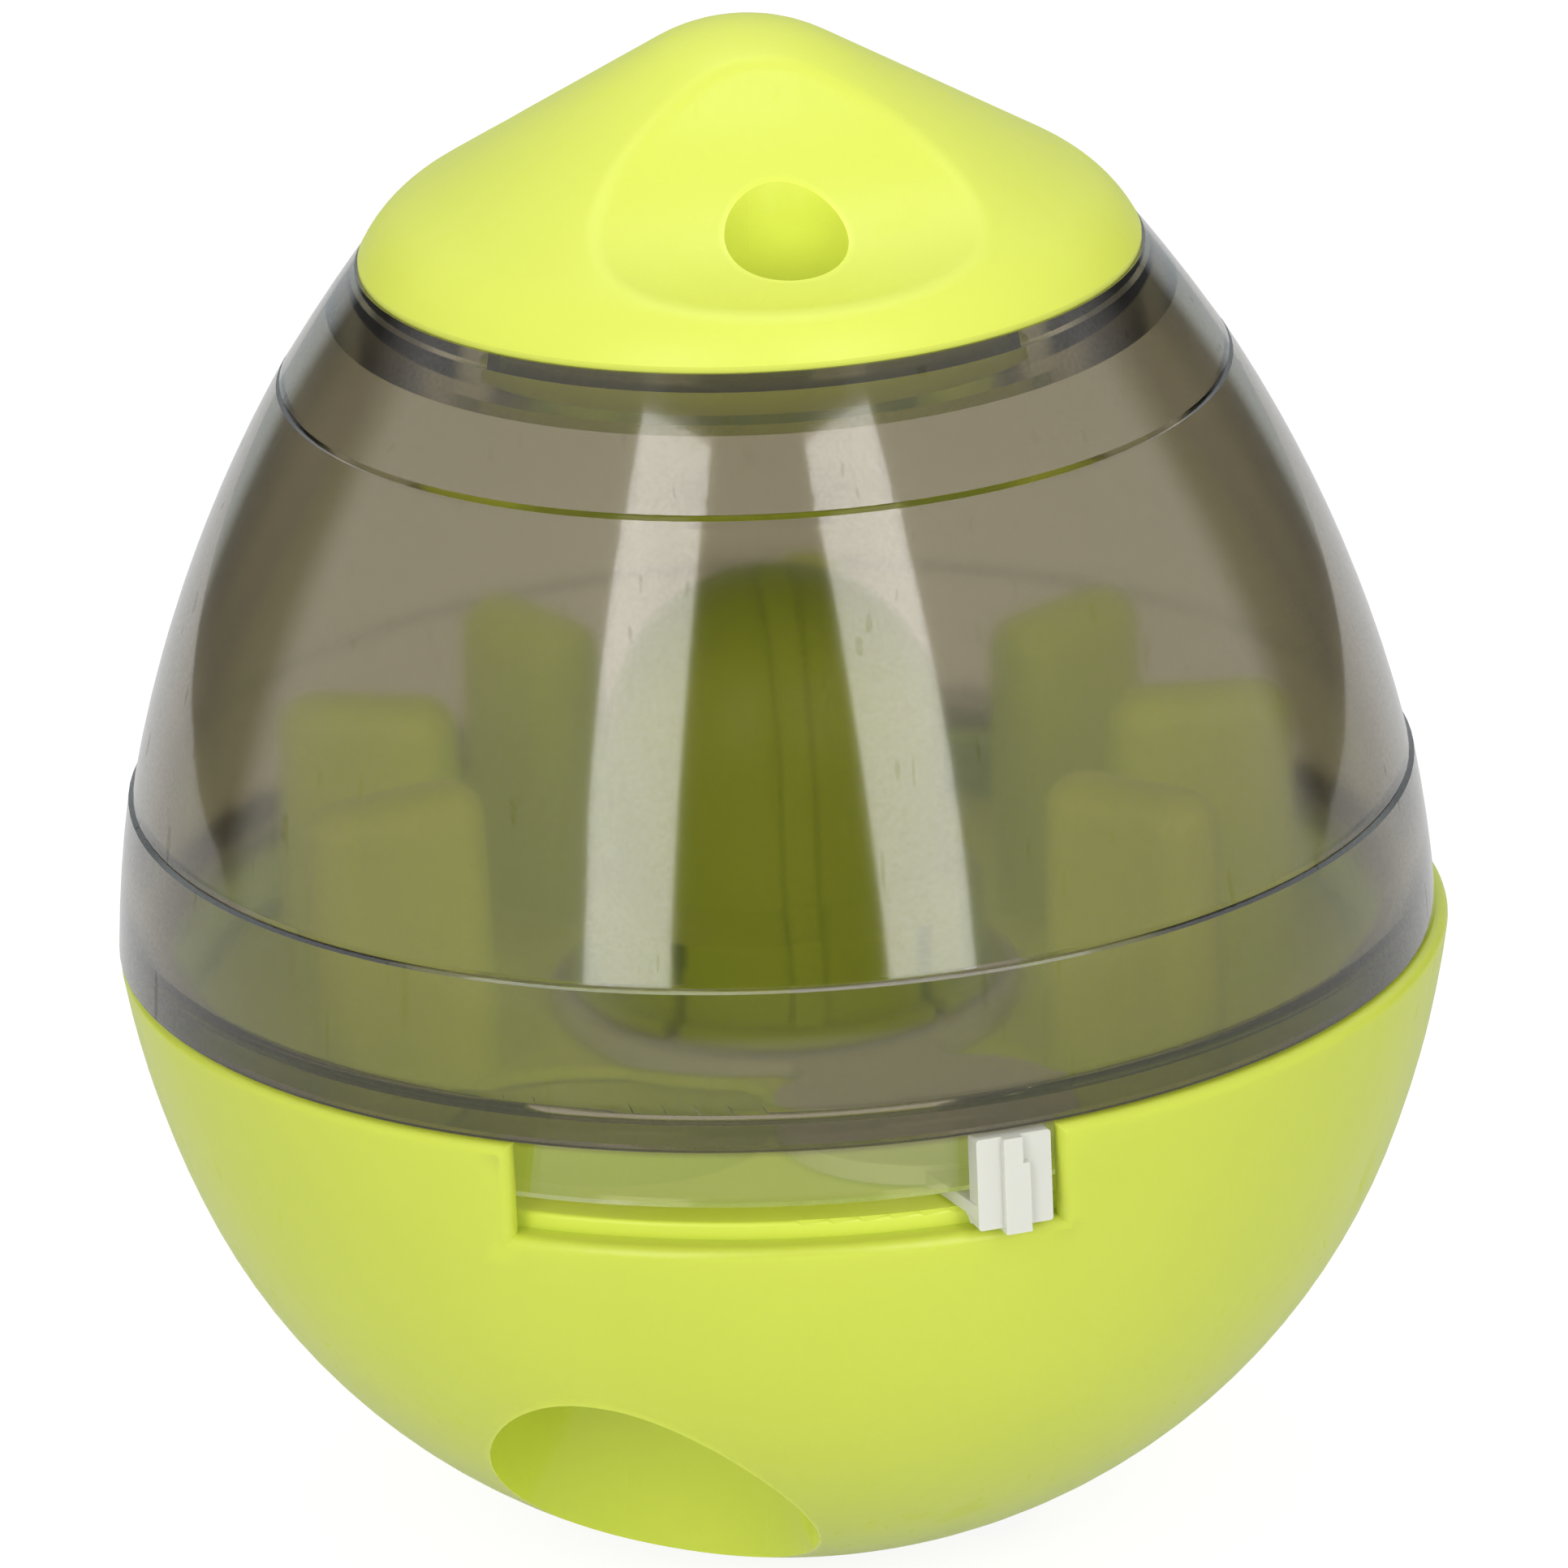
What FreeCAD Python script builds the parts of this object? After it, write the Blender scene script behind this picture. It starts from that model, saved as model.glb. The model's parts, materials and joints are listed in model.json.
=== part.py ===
"""Self-righting treat ball: weighted bowl, maze tray, portion shutter, smoked dome and cap.

Millimetres, +Z up, the origin at the centre of the flat that the ball stands on.
The front of the ball, with the lever notch, looks along -Y and +X is to its right.
Azimuths are in degrees from the front, positive to the right.
"""
import FreeCAD, Part
import math
import os

from FreeCAD import Vector

# Bowl
BOWL_RADIUS = 57.0          # outer radius of the round bottom
FOOT_RADIUS = 9.0           # flat that it stands on
BOWL_WALL = 1.8
SHOULDER_DROP = 21.5        # below the bottom's centre, where the side starts to straighten
RIM_FLARE = 1.3             # rim beyond the radius of the round bottom
RIM_DROP = 1.0              # rim below the centre of the round bottom
RIM_EASE = 1.0              # rounding of the outer edges of the rim and the notch
NOTCH_DEPTH = 9.1           # rim to the ledge inside the lever notch
NOTCH_SHIFT = -0.8          # notch's middle to the left of the front
NOTCH_WIDTH = 45.8
LEDGE_HEIGHT = 3.2          # ring of the bowl that carries the tray
LEDGE_SEAT = 3.0            # how far the tray lies on the ring

# Maze tray
TRAY_INSET = 1.0            # tray's edge to the inside of the bowl
TRAY_STEP = 1.4             # tray floor above the bowl's ledge
TRAY_FLOOR = 1.8
TRAY_EDGE = 2.4             # thickness of the tray's outer edge
TRAY_EDGE_WIDTH = 4.0
TRAY_EASE = 0.4             # rounding of the tray's top edge
POST_COUNT = 7
POST_AZIMUTH = 175.5        # middle post
POST_PITCH = 40.5           # degrees from one post to the next
POST_FIT = 7.2              # posts to the dome's neck
POST_LENGTH = 17.4
POST_WIDTH = 8.4
POST_HEIGHT = 26.8
POST_DRAFT = 0.7            # taken off each side at the top
POST_ROUND = 3.1
POST_WALL = 1.6

# Treat outlet in the tray, the chute below it and the exit in the bowl
OUTLET_AZIMUTH = -28.5
OUTLET_MARGIN = 2.0         # outlet's outer end inside the paddle's reach
OUTLET_DEPTH = 26.4
OUTLET_WIDTH = 29.6
EXIT_AZIMUTH = -21.7
EXIT_LEAN = 2.6             # exit's middle further out than the outlet's
EXIT_DEPTH = 27.8
EXIT_STRETCH = 0.4          # exit longer across the radius than along it
CHUTE_STEP = 0.6            # chute wider than the outlet, each side
CHUTE_WALL = 1.8
CHUTE_GAP = 0.3             # from the chute's top to the tray
CHUTE_FUNNEL = 13.5         # height of the chute's sloping part

# Centre pillar, a bell that snaps round the middle of the tray
PILLAR_RADIUS = 14.6
PILLAR_TOP = 39.8           # above the tray floor
PILLAR_WALL = 1.8
PILLAR_FOOT_RADIUS = 17.5
PILLAR_FOOT_HEIGHT = 11.2
PILLAR_SHOULDER = 2.2
PILLAR_LIP = 1.8            # lip that keeps the shutter's ring down
PILLAR_LIP_HEIGHT = 1.2
PILLAR_RIB_WIDTH = 2.6
PILLAR_RIB_PROUD = 0.7
PILLAR_RIB_AZIMUTH = 6.0
PILLAR_SLOT_WIDTH = 1.6
PILLAR_SLOT_AZIMUTH = 38.0  # each side of the rib, front and back
HUB_HEIGHT = 8.0            # spigot of the tray inside the pillar's foot
HUB_WALL = 1.8
SNAP_HEIGHT = 1.4
SNAP_PROUD = 0.6

# Portion shutter
RING_WIDTH = 3.0
SHUTTER_THICKNESS = 1.8
ARM_THICKNESS = 1.2
PADDLE_HALF_WIDTH = 12.6
PADDLE_FIT = 4.5            # paddle's far end to the dome's neck
PADDLE_LENGTH = 26.6
LEVER_WIDTH = 6.7
LEVER_GAP = 1.0             # lever's back corner to the notch's right side
LEVER_PROUD = 0.4           # lever beyond the rim
LEVER_DEPTH = 2.9
LEVER_EASE = 0.3            # rounding of the lever's long corners
LEVER_RIB_WIDTH = 2.3       # below the step
LEVER_RIB_NARROW = 1.7      # above the step
LEVER_RIB_STEP = 2.4        # lever's top to the step
LEVER_RIB_PROUD = 0.8
LEVER_RIB_LONGER = 0.4
LEVER_TOP_GAP = 0.5         # below the dome's edge
ARM_FLARE = 2.5             # arm wider at the paddle, on its left

# Dome
DOME_HEIGHT = 61.7          # rim of the bowl to the top of the collar
DOME_WALL = 2.0
BAND_STEP = 0.6             # band's lower edge inside the rim's outer edge
BAND_TAPER = 1.5            # band narrower at the groove
BAND_HEIGHT = 14.2          # rim of the bowl to the lower groove
BAND_BULGE = 0.2
BODY_STEP = 0.4             # body's lower edge inside the band's upper one
BODY_RADIUS_HIGH = 41.5
BODY_TOP = 51.3             # rim of the bowl to the upper groove
BODY_BULGE = 1.6
COLLAR_RADIUS_LOW = 41.2
COLLAR_TOP_WALL = 1.0
COLLAR_BULGE = 0.12
GROOVE = 0.45               # width and depth of the two grooves
SHADOW_GAP = 0.35           # open line between dome and bowl
NECK_WALL = 1.6
NECK_FIT = 0.9              # neck to the inside of the bowl
DOME_SIT = 0.6              # dome and cap sit this far to the left in the rim
WEB_THICKNESS = 1.4         # at the neck, where the dome's wall steps in to it
WEB_RISE = 2.6              # height of the curve from the neck to the band's inside
COLLAR_STEP = 5.3           # from the collar's top to its inner step
FLANGE_THICKNESS = 2.2

# Bayonet between bowl and dome
TAB_COUNT = 3
TAB_AZIMUTH = 60.0
TAB_SPAN = 12.0
TAB_DROP = 2.3              # rim to a tab's top
TAB_HEIGHT = 1.7
TAB_REACH = 1.2             # how far a tab stands in the neck's slot
SLOT_EASE = 1.5             # degrees from a tab or key to the end of its slot or gate
DOME_TURN = 25.0            # degrees from locked to free

# Cap
CAP_STEP = 0.3              # cap's edge inside the collar's top
CAP_EDGE = 0.55
CAP_SLOPE = 31.4            # degrees
CAP_LIFT = 2.1              # slope above the edge, were it to run out so far
CAP_TIP_RADIUS = 16.0
CAP_SHOULDER_RADIUS = 12.0
CAP_WALL = 2.0
PLUG_RADIUS = 30.2
PLUG_WALL = 2.0
PLUG_HEIGHT = 5.0
PLUG_FIT = 0.4
KEY_COUNT = 2
KEY_SPAN = 92.0
KEY_PROUD = 2.2
KEY_FIT = 0.25              # key to the flange above it
KEY_ROOM = 0.8              # key to the collar's bore
CAP_TURN = 90.0             # degrees from locked to free
DISH_AZIMUTH = 10.0
DISH_COUNT = 2
DISH_RING = 19.2
DISH_RADIUS = 22.4
DISH_DEPTH = 5.0
DISH_BARREL = 88.0
DISH_EASE = 3.0             # rounding of a dish's edge
HOLE_RING = 18.4
HOLE_RADIUS = 5.7
HOLE_TAPER = 0.6
HOLE_TUBE_WALL = 1.6

# Counterweight and screws
WEIGHT_RADIUS = 30.0
WEIGHT_THICKNESS = 10.0
WEIGHT_CLEARANCE = 0.6
WEIGHT_BOSS_RADIUS = 3.6
WEIGHT_SCREW_RING = 21.0
WEIGHT_SCREW_AZIMUTHS = (27.0, 112.0, 222.0)
WEIGHT_SCREW_BITE = 4.4     # thread in the bowl's boss
COLUMN_RADIUS = 5.0
COLUMN_RING = 18.0
COLUMN_AZIMUTHS = (68.0, 165.0, 270.0)
COLUMN_ABOVE_WEIGHT = 2.0
COLUMN_WEB = 3.0
CASE_SCREW_LENGTH = 14.0
TRAY_BOSS_RADIUS = 3.5
SCREW_RADIUS = 1.45
SCREW_HEAD_RADIUS = 2.8
SCREW_HEAD_HEIGHT = 2.0
SCREW_SOCKET_WIDTH = 1.0
SCREW_SOCKET_DEPTH = 0.9

# Clearances
FIT = 0.05                  # screw in its hole
SLIDE_GAP = 0.3             # shutter to what is above and below it
SEAT_GAP = 0.3              # tray edge to the bowl, ring to the pillar
TURN_GAP = 0.25             # bayonet faces
WELL_GAP = 0.5              # screw head to its well

# Levels
CENTRE_Z = math.sqrt(BOWL_RADIUS ** 2 - FOOT_RADIUS ** 2)
RIM_Z = CENTRE_Z - RIM_DROP
LEDGE_Z = RIM_Z - NOTCH_DEPTH
FLOOR_Z = LEDGE_Z + TRAY_STEP
SHUTTER_Z = FLOOR_Z + SLIDE_GAP
NECK_Z = SHUTTER_Z + ARM_THICKNESS + SLIDE_GAP
TAB_Z = RIM_Z - TAB_DROP - TAB_HEIGHT
DOME_TOP_Z = RIM_Z + DOME_HEIGHT

# Bowl's side, an arc that leaves the round bottom at the shoulder and ends at the rim
RIM_RADIUS = BOWL_RADIUS + RIM_FLARE
SHOULDER_ANGLE = math.asin(SHOULDER_DROP / BOWL_RADIUS)
SHOULDER_LOW = RIM_Z - CENTRE_Z + SHOULDER_DROP
SHOULDER_IN = RIM_RADIUS - BOWL_RADIUS * math.cos(SHOULDER_ANGLE)
SIDE_RADIUS = (SHOULDER_IN ** 2 + SHOULDER_LOW ** 2) / (
    2 * (SHOULDER_LOW * math.sin(SHOULDER_ANGLE) - SHOULDER_IN * math.cos(SHOULDER_ANGLE))
)
SIDE_CENTRE_R = (BOWL_RADIUS - SIDE_RADIUS) * math.cos(SHOULDER_ANGLE)
SIDE_CENTRE_Z = CENTRE_Z + (SIDE_RADIUS - BOWL_RADIUS) * math.sin(SHOULDER_ANGLE)


def side_radius(level, inward):
    """Radius of the bowl's side at a level, moved inward by a wall."""
    if level < CENTRE_Z - (BOWL_RADIUS - inward) * math.sin(SHOULDER_ANGLE):
        return math.sqrt((BOWL_RADIUS - inward) ** 2 - (CENTRE_Z - level) ** 2)
    return SIDE_CENTRE_R + math.sqrt((SIDE_RADIUS - inward) ** 2 - (level - SIDE_CENTRE_Z) ** 2)


# Radii that fits decide
INNER_RADIUS = BOWL_RADIUS - BOWL_WALL
WEIGHT_Z = CENTRE_Z - math.sqrt(INNER_RADIUS ** 2 - (WEIGHT_RADIUS + WEIGHT_CLEARANCE) ** 2)
COLUMN_Z = WEIGHT_Z + WEIGHT_THICKNESS + COLUMN_ABOVE_WEIGHT
TRAY_RADIUS = side_radius(LEDGE_Z, BOWL_WALL) - TRAY_INSET
NECK_RADIUS = side_radius(NECK_Z, BOWL_WALL) - NECK_FIT
NECK_INNER = NECK_RADIUS - NECK_WALL
PADDLE_REACH = NECK_INNER - PADDLE_FIT
OUTLET_RING = PADDLE_REACH - OUTLET_MARGIN - OUTLET_DEPTH / 2
EXIT_RING = OUTLET_RING + EXIT_LEAN
POST_RING = NECK_INNER - POST_FIT - POST_LENGTH / 2
LEVER_BACK = RIM_RADIUS + LEVER_PROUD - LEVER_DEPTH
LEVER_AZIMUTH = math.degrees(
    math.asin((NOTCH_SHIFT + NOTCH_WIDTH / 2 - LEVER_GAP) / math.hypot(LEVER_BACK, LEVER_WIDTH / 2))
    - math.atan(LEVER_WIDTH / 2 / LEVER_BACK)
)
BAND_RADIUS_LOW = RIM_RADIUS - BAND_STEP
BAND_RADIUS_HIGH = BAND_RADIUS_LOW - BAND_TAPER
BODY_RADIUS_LOW = BAND_RADIUS_HIGH - BODY_STEP
COLLAR_BORE_RADIUS = PLUG_RADIUS + KEY_PROUD + KEY_ROOM
COLLAR_RADIUS_HIGH = COLLAR_BORE_RADIUS + COLLAR_TOP_WALL
CAP_RADIUS = COLLAR_RADIUS_HIGH - CAP_STEP
CAP_RISE = CAP_RADIUS * math.tan(math.radians(CAP_SLOPE)) + CAP_LIFT
RING_BORE_RADIUS = PILLAR_FOOT_RADIUS + SEAT_GAP
CHUTE_TOP = FLOOR_Z - TRAY_FLOOR - CHUTE_GAP


def polar(radius, azimuth, z=0.0):
    """Point at a radius and an azimuth from the front."""
    angle = math.radians(azimuth)
    return Vector(radius * math.sin(angle), -radius * math.cos(angle), z)


def cylinder(radius, low, high, place=Vector()):
    """Upright round bar from one level to another."""
    return Part.makeCylinder(radius, high - low, Vector(place.x, place.y, low))


def ring(inner, outer, low, high):
    """Upright tube round the axis."""
    return cylinder(outer, low, high).cut(cylinder(inner, low, high))


def segment(start, end):
    """Straight profile line between two (radius, level) points."""
    return Part.LineSegment(Vector(start[0], 0, start[1]), Vector(end[0], 0, end[1])).toShape()


def bulge(start, end, rise):
    """Profile arc that stands out by rise, to the right of the way from start to end."""
    run = math.hypot(end[0] - start[0], end[1] - start[1])
    middle_r = (start[0] + end[0]) / 2 + rise * (end[1] - start[1]) / run
    middle_z = (start[1] + end[1]) / 2 - rise * (end[0] - start[0]) / run
    return Part.Arc(
        Vector(start[0], 0, start[1]), Vector(middle_r, 0, middle_z), Vector(end[0], 0, end[1])
    ).toShape()


def inset(start, end, rise, depth):
    """Ends and rise of the arc that lies depth inside the one that bulge draws."""
    run = math.hypot(end[0] - start[0], end[1] - start[1])
    radius = (run * run / 4 + rise * rise) / (2 * rise)
    out_r = (end[1] - start[1]) / run
    out_z = -(end[0] - start[0]) / run
    centre_r = (start[0] + end[0]) / 2 - (radius - rise) * out_r
    centre_z = (start[1] + end[1]) / 2 - (radius - rise) * out_z
    share = (radius - depth) / radius
    moved = [(centre_r + (p[0] - centre_r) * share, centre_z + (p[1] - centre_z) * share) for p in (start, end)]
    return moved[0], moved[1], rise * share


def turned(edges):
    """Solid of revolution about the axis from a closed profile."""
    wire = Part.Wire(Part.__sortEdges__(edges))
    return Part.Face(wire).revolve(Vector(), Vector(0, 0, 1), 360)


def chain(points):
    """Straight profile lines through a list of points."""
    return [segment(a, b) for a, b in zip(points[:-1], points[1:])]


def bowl_body(inward, base_z, top_z):
    """Solid inside the bowl's outer face moved inward by a wall, between two levels."""
    bottom_radius = BOWL_RADIUS - inward
    base_r = math.sqrt(bottom_radius ** 2 - (CENTRE_Z - base_z) ** 2)
    base_angle = math.atan2(base_z - CENTRE_Z, base_r)
    top_r = side_radius(top_z, inward)
    top_angle = math.atan2(top_z - SIDE_CENTRE_Z, top_r - SIDE_CENTRE_R)
    arcs = []
    for centre_r, centre_z, radius, start, end in (
        (0, CENTRE_Z, bottom_radius, base_angle, -SHOULDER_ANGLE),
        (SIDE_CENTRE_R, SIDE_CENTRE_Z, SIDE_RADIUS - inward, -SHOULDER_ANGLE, top_angle),
    ):
        angles = (start, (start + end) / 2, end)
        arcs.append(Part.Arc(*[
            Vector(centre_r + radius * math.cos(angle), 0, centre_z + radius * math.sin(angle)) for angle in angles
        ]).toShape())
    return turned(arcs + chain([(top_r, top_z), (0, top_z), (0, base_z), (base_r, base_z)]))


def wedge(inner, outer, low, high, middle, span):
    """Piece of an upright tube about a middle azimuth."""
    edges = chain([(inner, low), (outer, low), (outer, high), (inner, high), (inner, low)])
    piece = Part.Face(Part.Wire(edges)).revolve(Vector(), Vector(0, 0, 1), span)
    piece.rotate(Vector(), Vector(0, 0, 1), middle - 90 - span / 2)
    return piece


def slot_wire(half_width, length, z):
    """Outline with round ends, its middle at the origin and its length along Y."""
    straight = length / 2 - half_width
    corners = [
        Vector(half_width, -straight, z),
        Vector(half_width, straight, z),
        Vector(-half_width, straight, z),
        Vector(-half_width, -straight, z),
    ]
    far = Vector(0, length / 2, z)
    near = Vector(0, -length / 2, z)
    return Part.Wire([
        Part.LineSegment(corners[0], corners[1]).toShape(),
        Part.Arc(corners[1], far, corners[2]).toShape(),
        Part.LineSegment(corners[2], corners[3]).toShape(),
        Part.Arc(corners[3], near, corners[0]).toShape(),
    ])


def slot_bar(half_width, length, low, high):
    """Upright bar with the outline of slot_wire."""
    return Part.Face(slot_wire(half_width, length, low)).extrude(Vector(0, 0, high - low))


def oval(azimuth, radius, depth, width, z):
    """Outline with round ends, its middle at a radius and its width across the radius."""
    wire = slot_wire(depth / 2, width, z)
    wire.rotate(Vector(), Vector(0, 0, 1), 90)
    wire.translate(Vector(0, -radius, 0))
    wire.rotate(Vector(), Vector(0, 0, 1), azimuth)
    return wire


def joined(shapes):
    """One solid from shapes that run into each other."""
    return shapes[0].fuse(shapes[1:]).removeSplitter()


def screw(length):
    """Pan-head screw, the underside of its head at the origin and its shank up +Z."""
    head = Part.makeCylinder(SCREW_HEAD_RADIUS, SCREW_HEAD_HEIGHT, Vector(0, 0, -SCREW_HEAD_HEIGHT))
    head = head.makeFillet(SCREW_HEAD_HEIGHT * 0.4, [edge for edge in head.Edges if is_rim(edge, -SCREW_HEAD_HEIGHT)])
    shank = Part.makeCylinder(SCREW_RADIUS, length)
    shank = shank.makeChamfer(SCREW_RADIUS * 0.5, [edge for edge in shank.Edges if is_rim(edge, length)])
    body = joined([head, shank])
    arm = SCREW_HEAD_RADIUS * 1.3
    for turn in (0, 90):
        bar = Part.makeBox(
            arm, SCREW_SOCKET_WIDTH, SCREW_SOCKET_DEPTH,
            Vector(-arm / 2, -SCREW_SOCKET_WIDTH / 2, -SCREW_HEAD_HEIGHT),
        )
        bar.rotate(Vector(), Vector(0, 0, 1), turn)
        body = body.cut(bar)
    return body


def is_rim(edge, level):
    """True for an edge that lies wholly at one level."""
    box = edge.BoundBox
    return abs(box.ZMin - level) < 1e-6 and abs(box.ZMax - level) < 1e-6


def is_long(edge):
    """True for a straight edge along Y."""
    box = edge.BoundBox
    return box.XLength < 1e-6 and box.ZLength < 1e-6 and box.YLength > 1e-6


def is_outer(edge):
    """True for an edge where the bowl's outer face meets the rim, or a side or the floor of the notch."""
    box = edge.BoundBox
    middle = edge.valueAt((edge.FirstParameter + edge.LastParameter) / 2)
    on_face = abs(math.hypot(middle.x, middle.y) - side_radius(middle.z, 0)) < 1e-4
    return on_face and box.ZMin > LEDGE_Z - 1e-6


def outlet_wire(extra, z):
    """Outline of the treat outlet, wider by extra on every side."""
    return oval(OUTLET_AZIMUTH, OUTLET_RING, OUTLET_DEPTH + 2 * extra, OUTLET_WIDTH + 2 * extra, z)


def exit_wire(extra, z):
    """Outline of the exit in the bowl, wider by extra on every side."""
    return oval(EXIT_AZIMUTH, EXIT_RING, EXIT_DEPTH + 2 * extra, EXIT_DEPTH + EXIT_STRETCH + 2 * extra, z)


def chute_bar(extra, rise):
    """Body of the chute: a funnel from the outlet down to the upright exit."""
    bend = CHUTE_TOP - CHUTE_FUNNEL
    funnel = Part.makeLoft([exit_wire(extra, bend), outlet_wire(CHUTE_STEP + extra, CHUTE_TOP)], True, True)
    shaft = Part.Face(exit_wire(extra, -1)).extrude(Vector(0, 0, bend + 1))
    bar = shaft.fuse(funnel)
    if rise:
        mouth = Part.Face(outlet_wire(CHUTE_STEP + extra, CHUTE_TOP)).extrude(Vector(0, 0, rise))
        bar = bar.fuse(mouth)
    return bar


def base_bowl():
    """Round weighted bowl with its ledge, chute, screw columns and rim tabs."""
    seat_radius = TRAY_RADIUS + SEAT_GAP
    notch = Part.makeBox(
        NOTCH_WIDTH, 2 * BOWL_RADIUS, RIM_Z,
        Vector(NOTCH_SHIFT - NOTCH_WIDTH / 2, -2 * BOWL_RADIUS, LEDGE_Z),
    )
    notch = notch.cut(cylinder(seat_radius, 0, 2 * RIM_Z))
    solid = bowl_body(0, 0, RIM_Z).cut(notch)
    solid = solid.makeFillet(RIM_EASE, [edge for edge in solid.Edges if is_outer(edge)])
    ledge = ring(seat_radius - LEDGE_SEAT, BOWL_RADIUS, LEDGE_Z - LEDGE_HEIGHT, LEDGE_Z)
    inside = [ledge, chute_bar(CHUTE_WALL, 0)]
    for azimuth in COLUMN_AZIMUTHS:
        inside.append(cylinder(COLUMN_RADIUS, 0, COLUMN_Z, polar(COLUMN_RING, azimuth)))
    for azimuth in WEIGHT_SCREW_AZIMUTHS:
        inside.append(cylinder(WEIGHT_BOSS_RADIUS, 0, WEIGHT_Z, polar(WEIGHT_SCREW_RING, azimuth)))
    for count in range(TAB_COUNT):
        inside.append(wedge(
            NECK_RADIUS - TAB_REACH, BOWL_RADIUS, TAB_Z, TAB_Z + TAB_HEIGHT,
            TAB_AZIMUTH + count * 360 / TAB_COUNT, TAB_SPAN,
        ))
    hollow = bowl_body(BOWL_WALL, BOWL_WALL, RIM_Z + 1)
    bowl = solid.cut(hollow).fuse([piece.common(solid) for piece in inside])
    bowl = bowl.cut(chute_bar(0, 1))
    bowl = bowl.cut(cylinder(seat_radius, FLOOR_Z - TRAY_EDGE, LEDGE_Z + 1))
    for azimuth in COLUMN_AZIMUTHS:
        place = polar(COLUMN_RING, azimuth)
        bowl = bowl.cut(cylinder(SCREW_HEAD_RADIUS + WELL_GAP, -1, COLUMN_Z - COLUMN_WEB, place))
        bowl = bowl.cut(cylinder(SCREW_RADIUS + FIT, -1, COLUMN_Z + 1, place))
    for azimuth in WEIGHT_SCREW_AZIMUTHS:
        place = polar(WEIGHT_SCREW_RING, azimuth)
        bowl = bowl.cut(cylinder(SCREW_RADIUS + FIT, WEIGHT_Z - WEIGHT_SCREW_BITE - FIT, WEIGHT_Z + 1, place))
    return bowl.removeSplitter()


def counterweight():
    """Cast plate that keeps the ball upright, cut away round the chute and columns."""
    top = WEIGHT_Z + WEIGHT_THICKNESS
    plate = cylinder(WEIGHT_RADIUS, WEIGHT_Z, top)
    plate = plate.cut(chute_bar(CHUTE_WALL + WEIGHT_CLEARANCE, 0))
    for azimuth in COLUMN_AZIMUTHS:
        hole = cylinder(COLUMN_RADIUS + WEIGHT_CLEARANCE, WEIGHT_Z - 1, top + 1, polar(COLUMN_RING, azimuth))
        plate = plate.cut(hole)
    for azimuth in WEIGHT_SCREW_AZIMUTHS:
        hole = cylinder(SCREW_RADIUS + FIT, WEIGHT_Z - 1, top + 1, polar(WEIGHT_SCREW_RING, azimuth))
        plate = plate.cut(hole)
    return plate


def weight_screws():
    """Screws that hold the counterweight down on its three bosses."""
    screws = []
    for azimuth in WEIGHT_SCREW_AZIMUTHS:
        one = screw(WEIGHT_THICKNESS + WEIGHT_SCREW_BITE)
        one.rotate(Vector(), Vector(1, 0, 0), 180)
        one.translate(polar(WEIGHT_SCREW_RING, azimuth, WEIGHT_Z + WEIGHT_THICKNESS))
        screws.append(one)
    return Part.makeCompound(screws)


def case_screws():
    """Screws that pull the tray down, driven up the bowl's columns from below."""
    screws = []
    for azimuth in COLUMN_AZIMUTHS:
        one = screw(CASE_SCREW_LENGTH)
        one.translate(polar(COLUMN_RING, azimuth, COLUMN_Z - COLUMN_WEB))
        screws.append(one)
    return Part.makeCompound(screws)


def post(inset_by, base_z, top_z):
    """Drafted slab with round ends, standing at the origin with its length along Y."""
    half_width = POST_WIDTH / 2 - inset_by
    length = POST_LENGTH - 2 * inset_by
    low = slot_wire(half_width, length, base_z)
    high = slot_wire(half_width - POST_DRAFT, length - 2 * POST_DRAFT, top_z)
    return Part.makeLoft([low, high], True, True)


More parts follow.
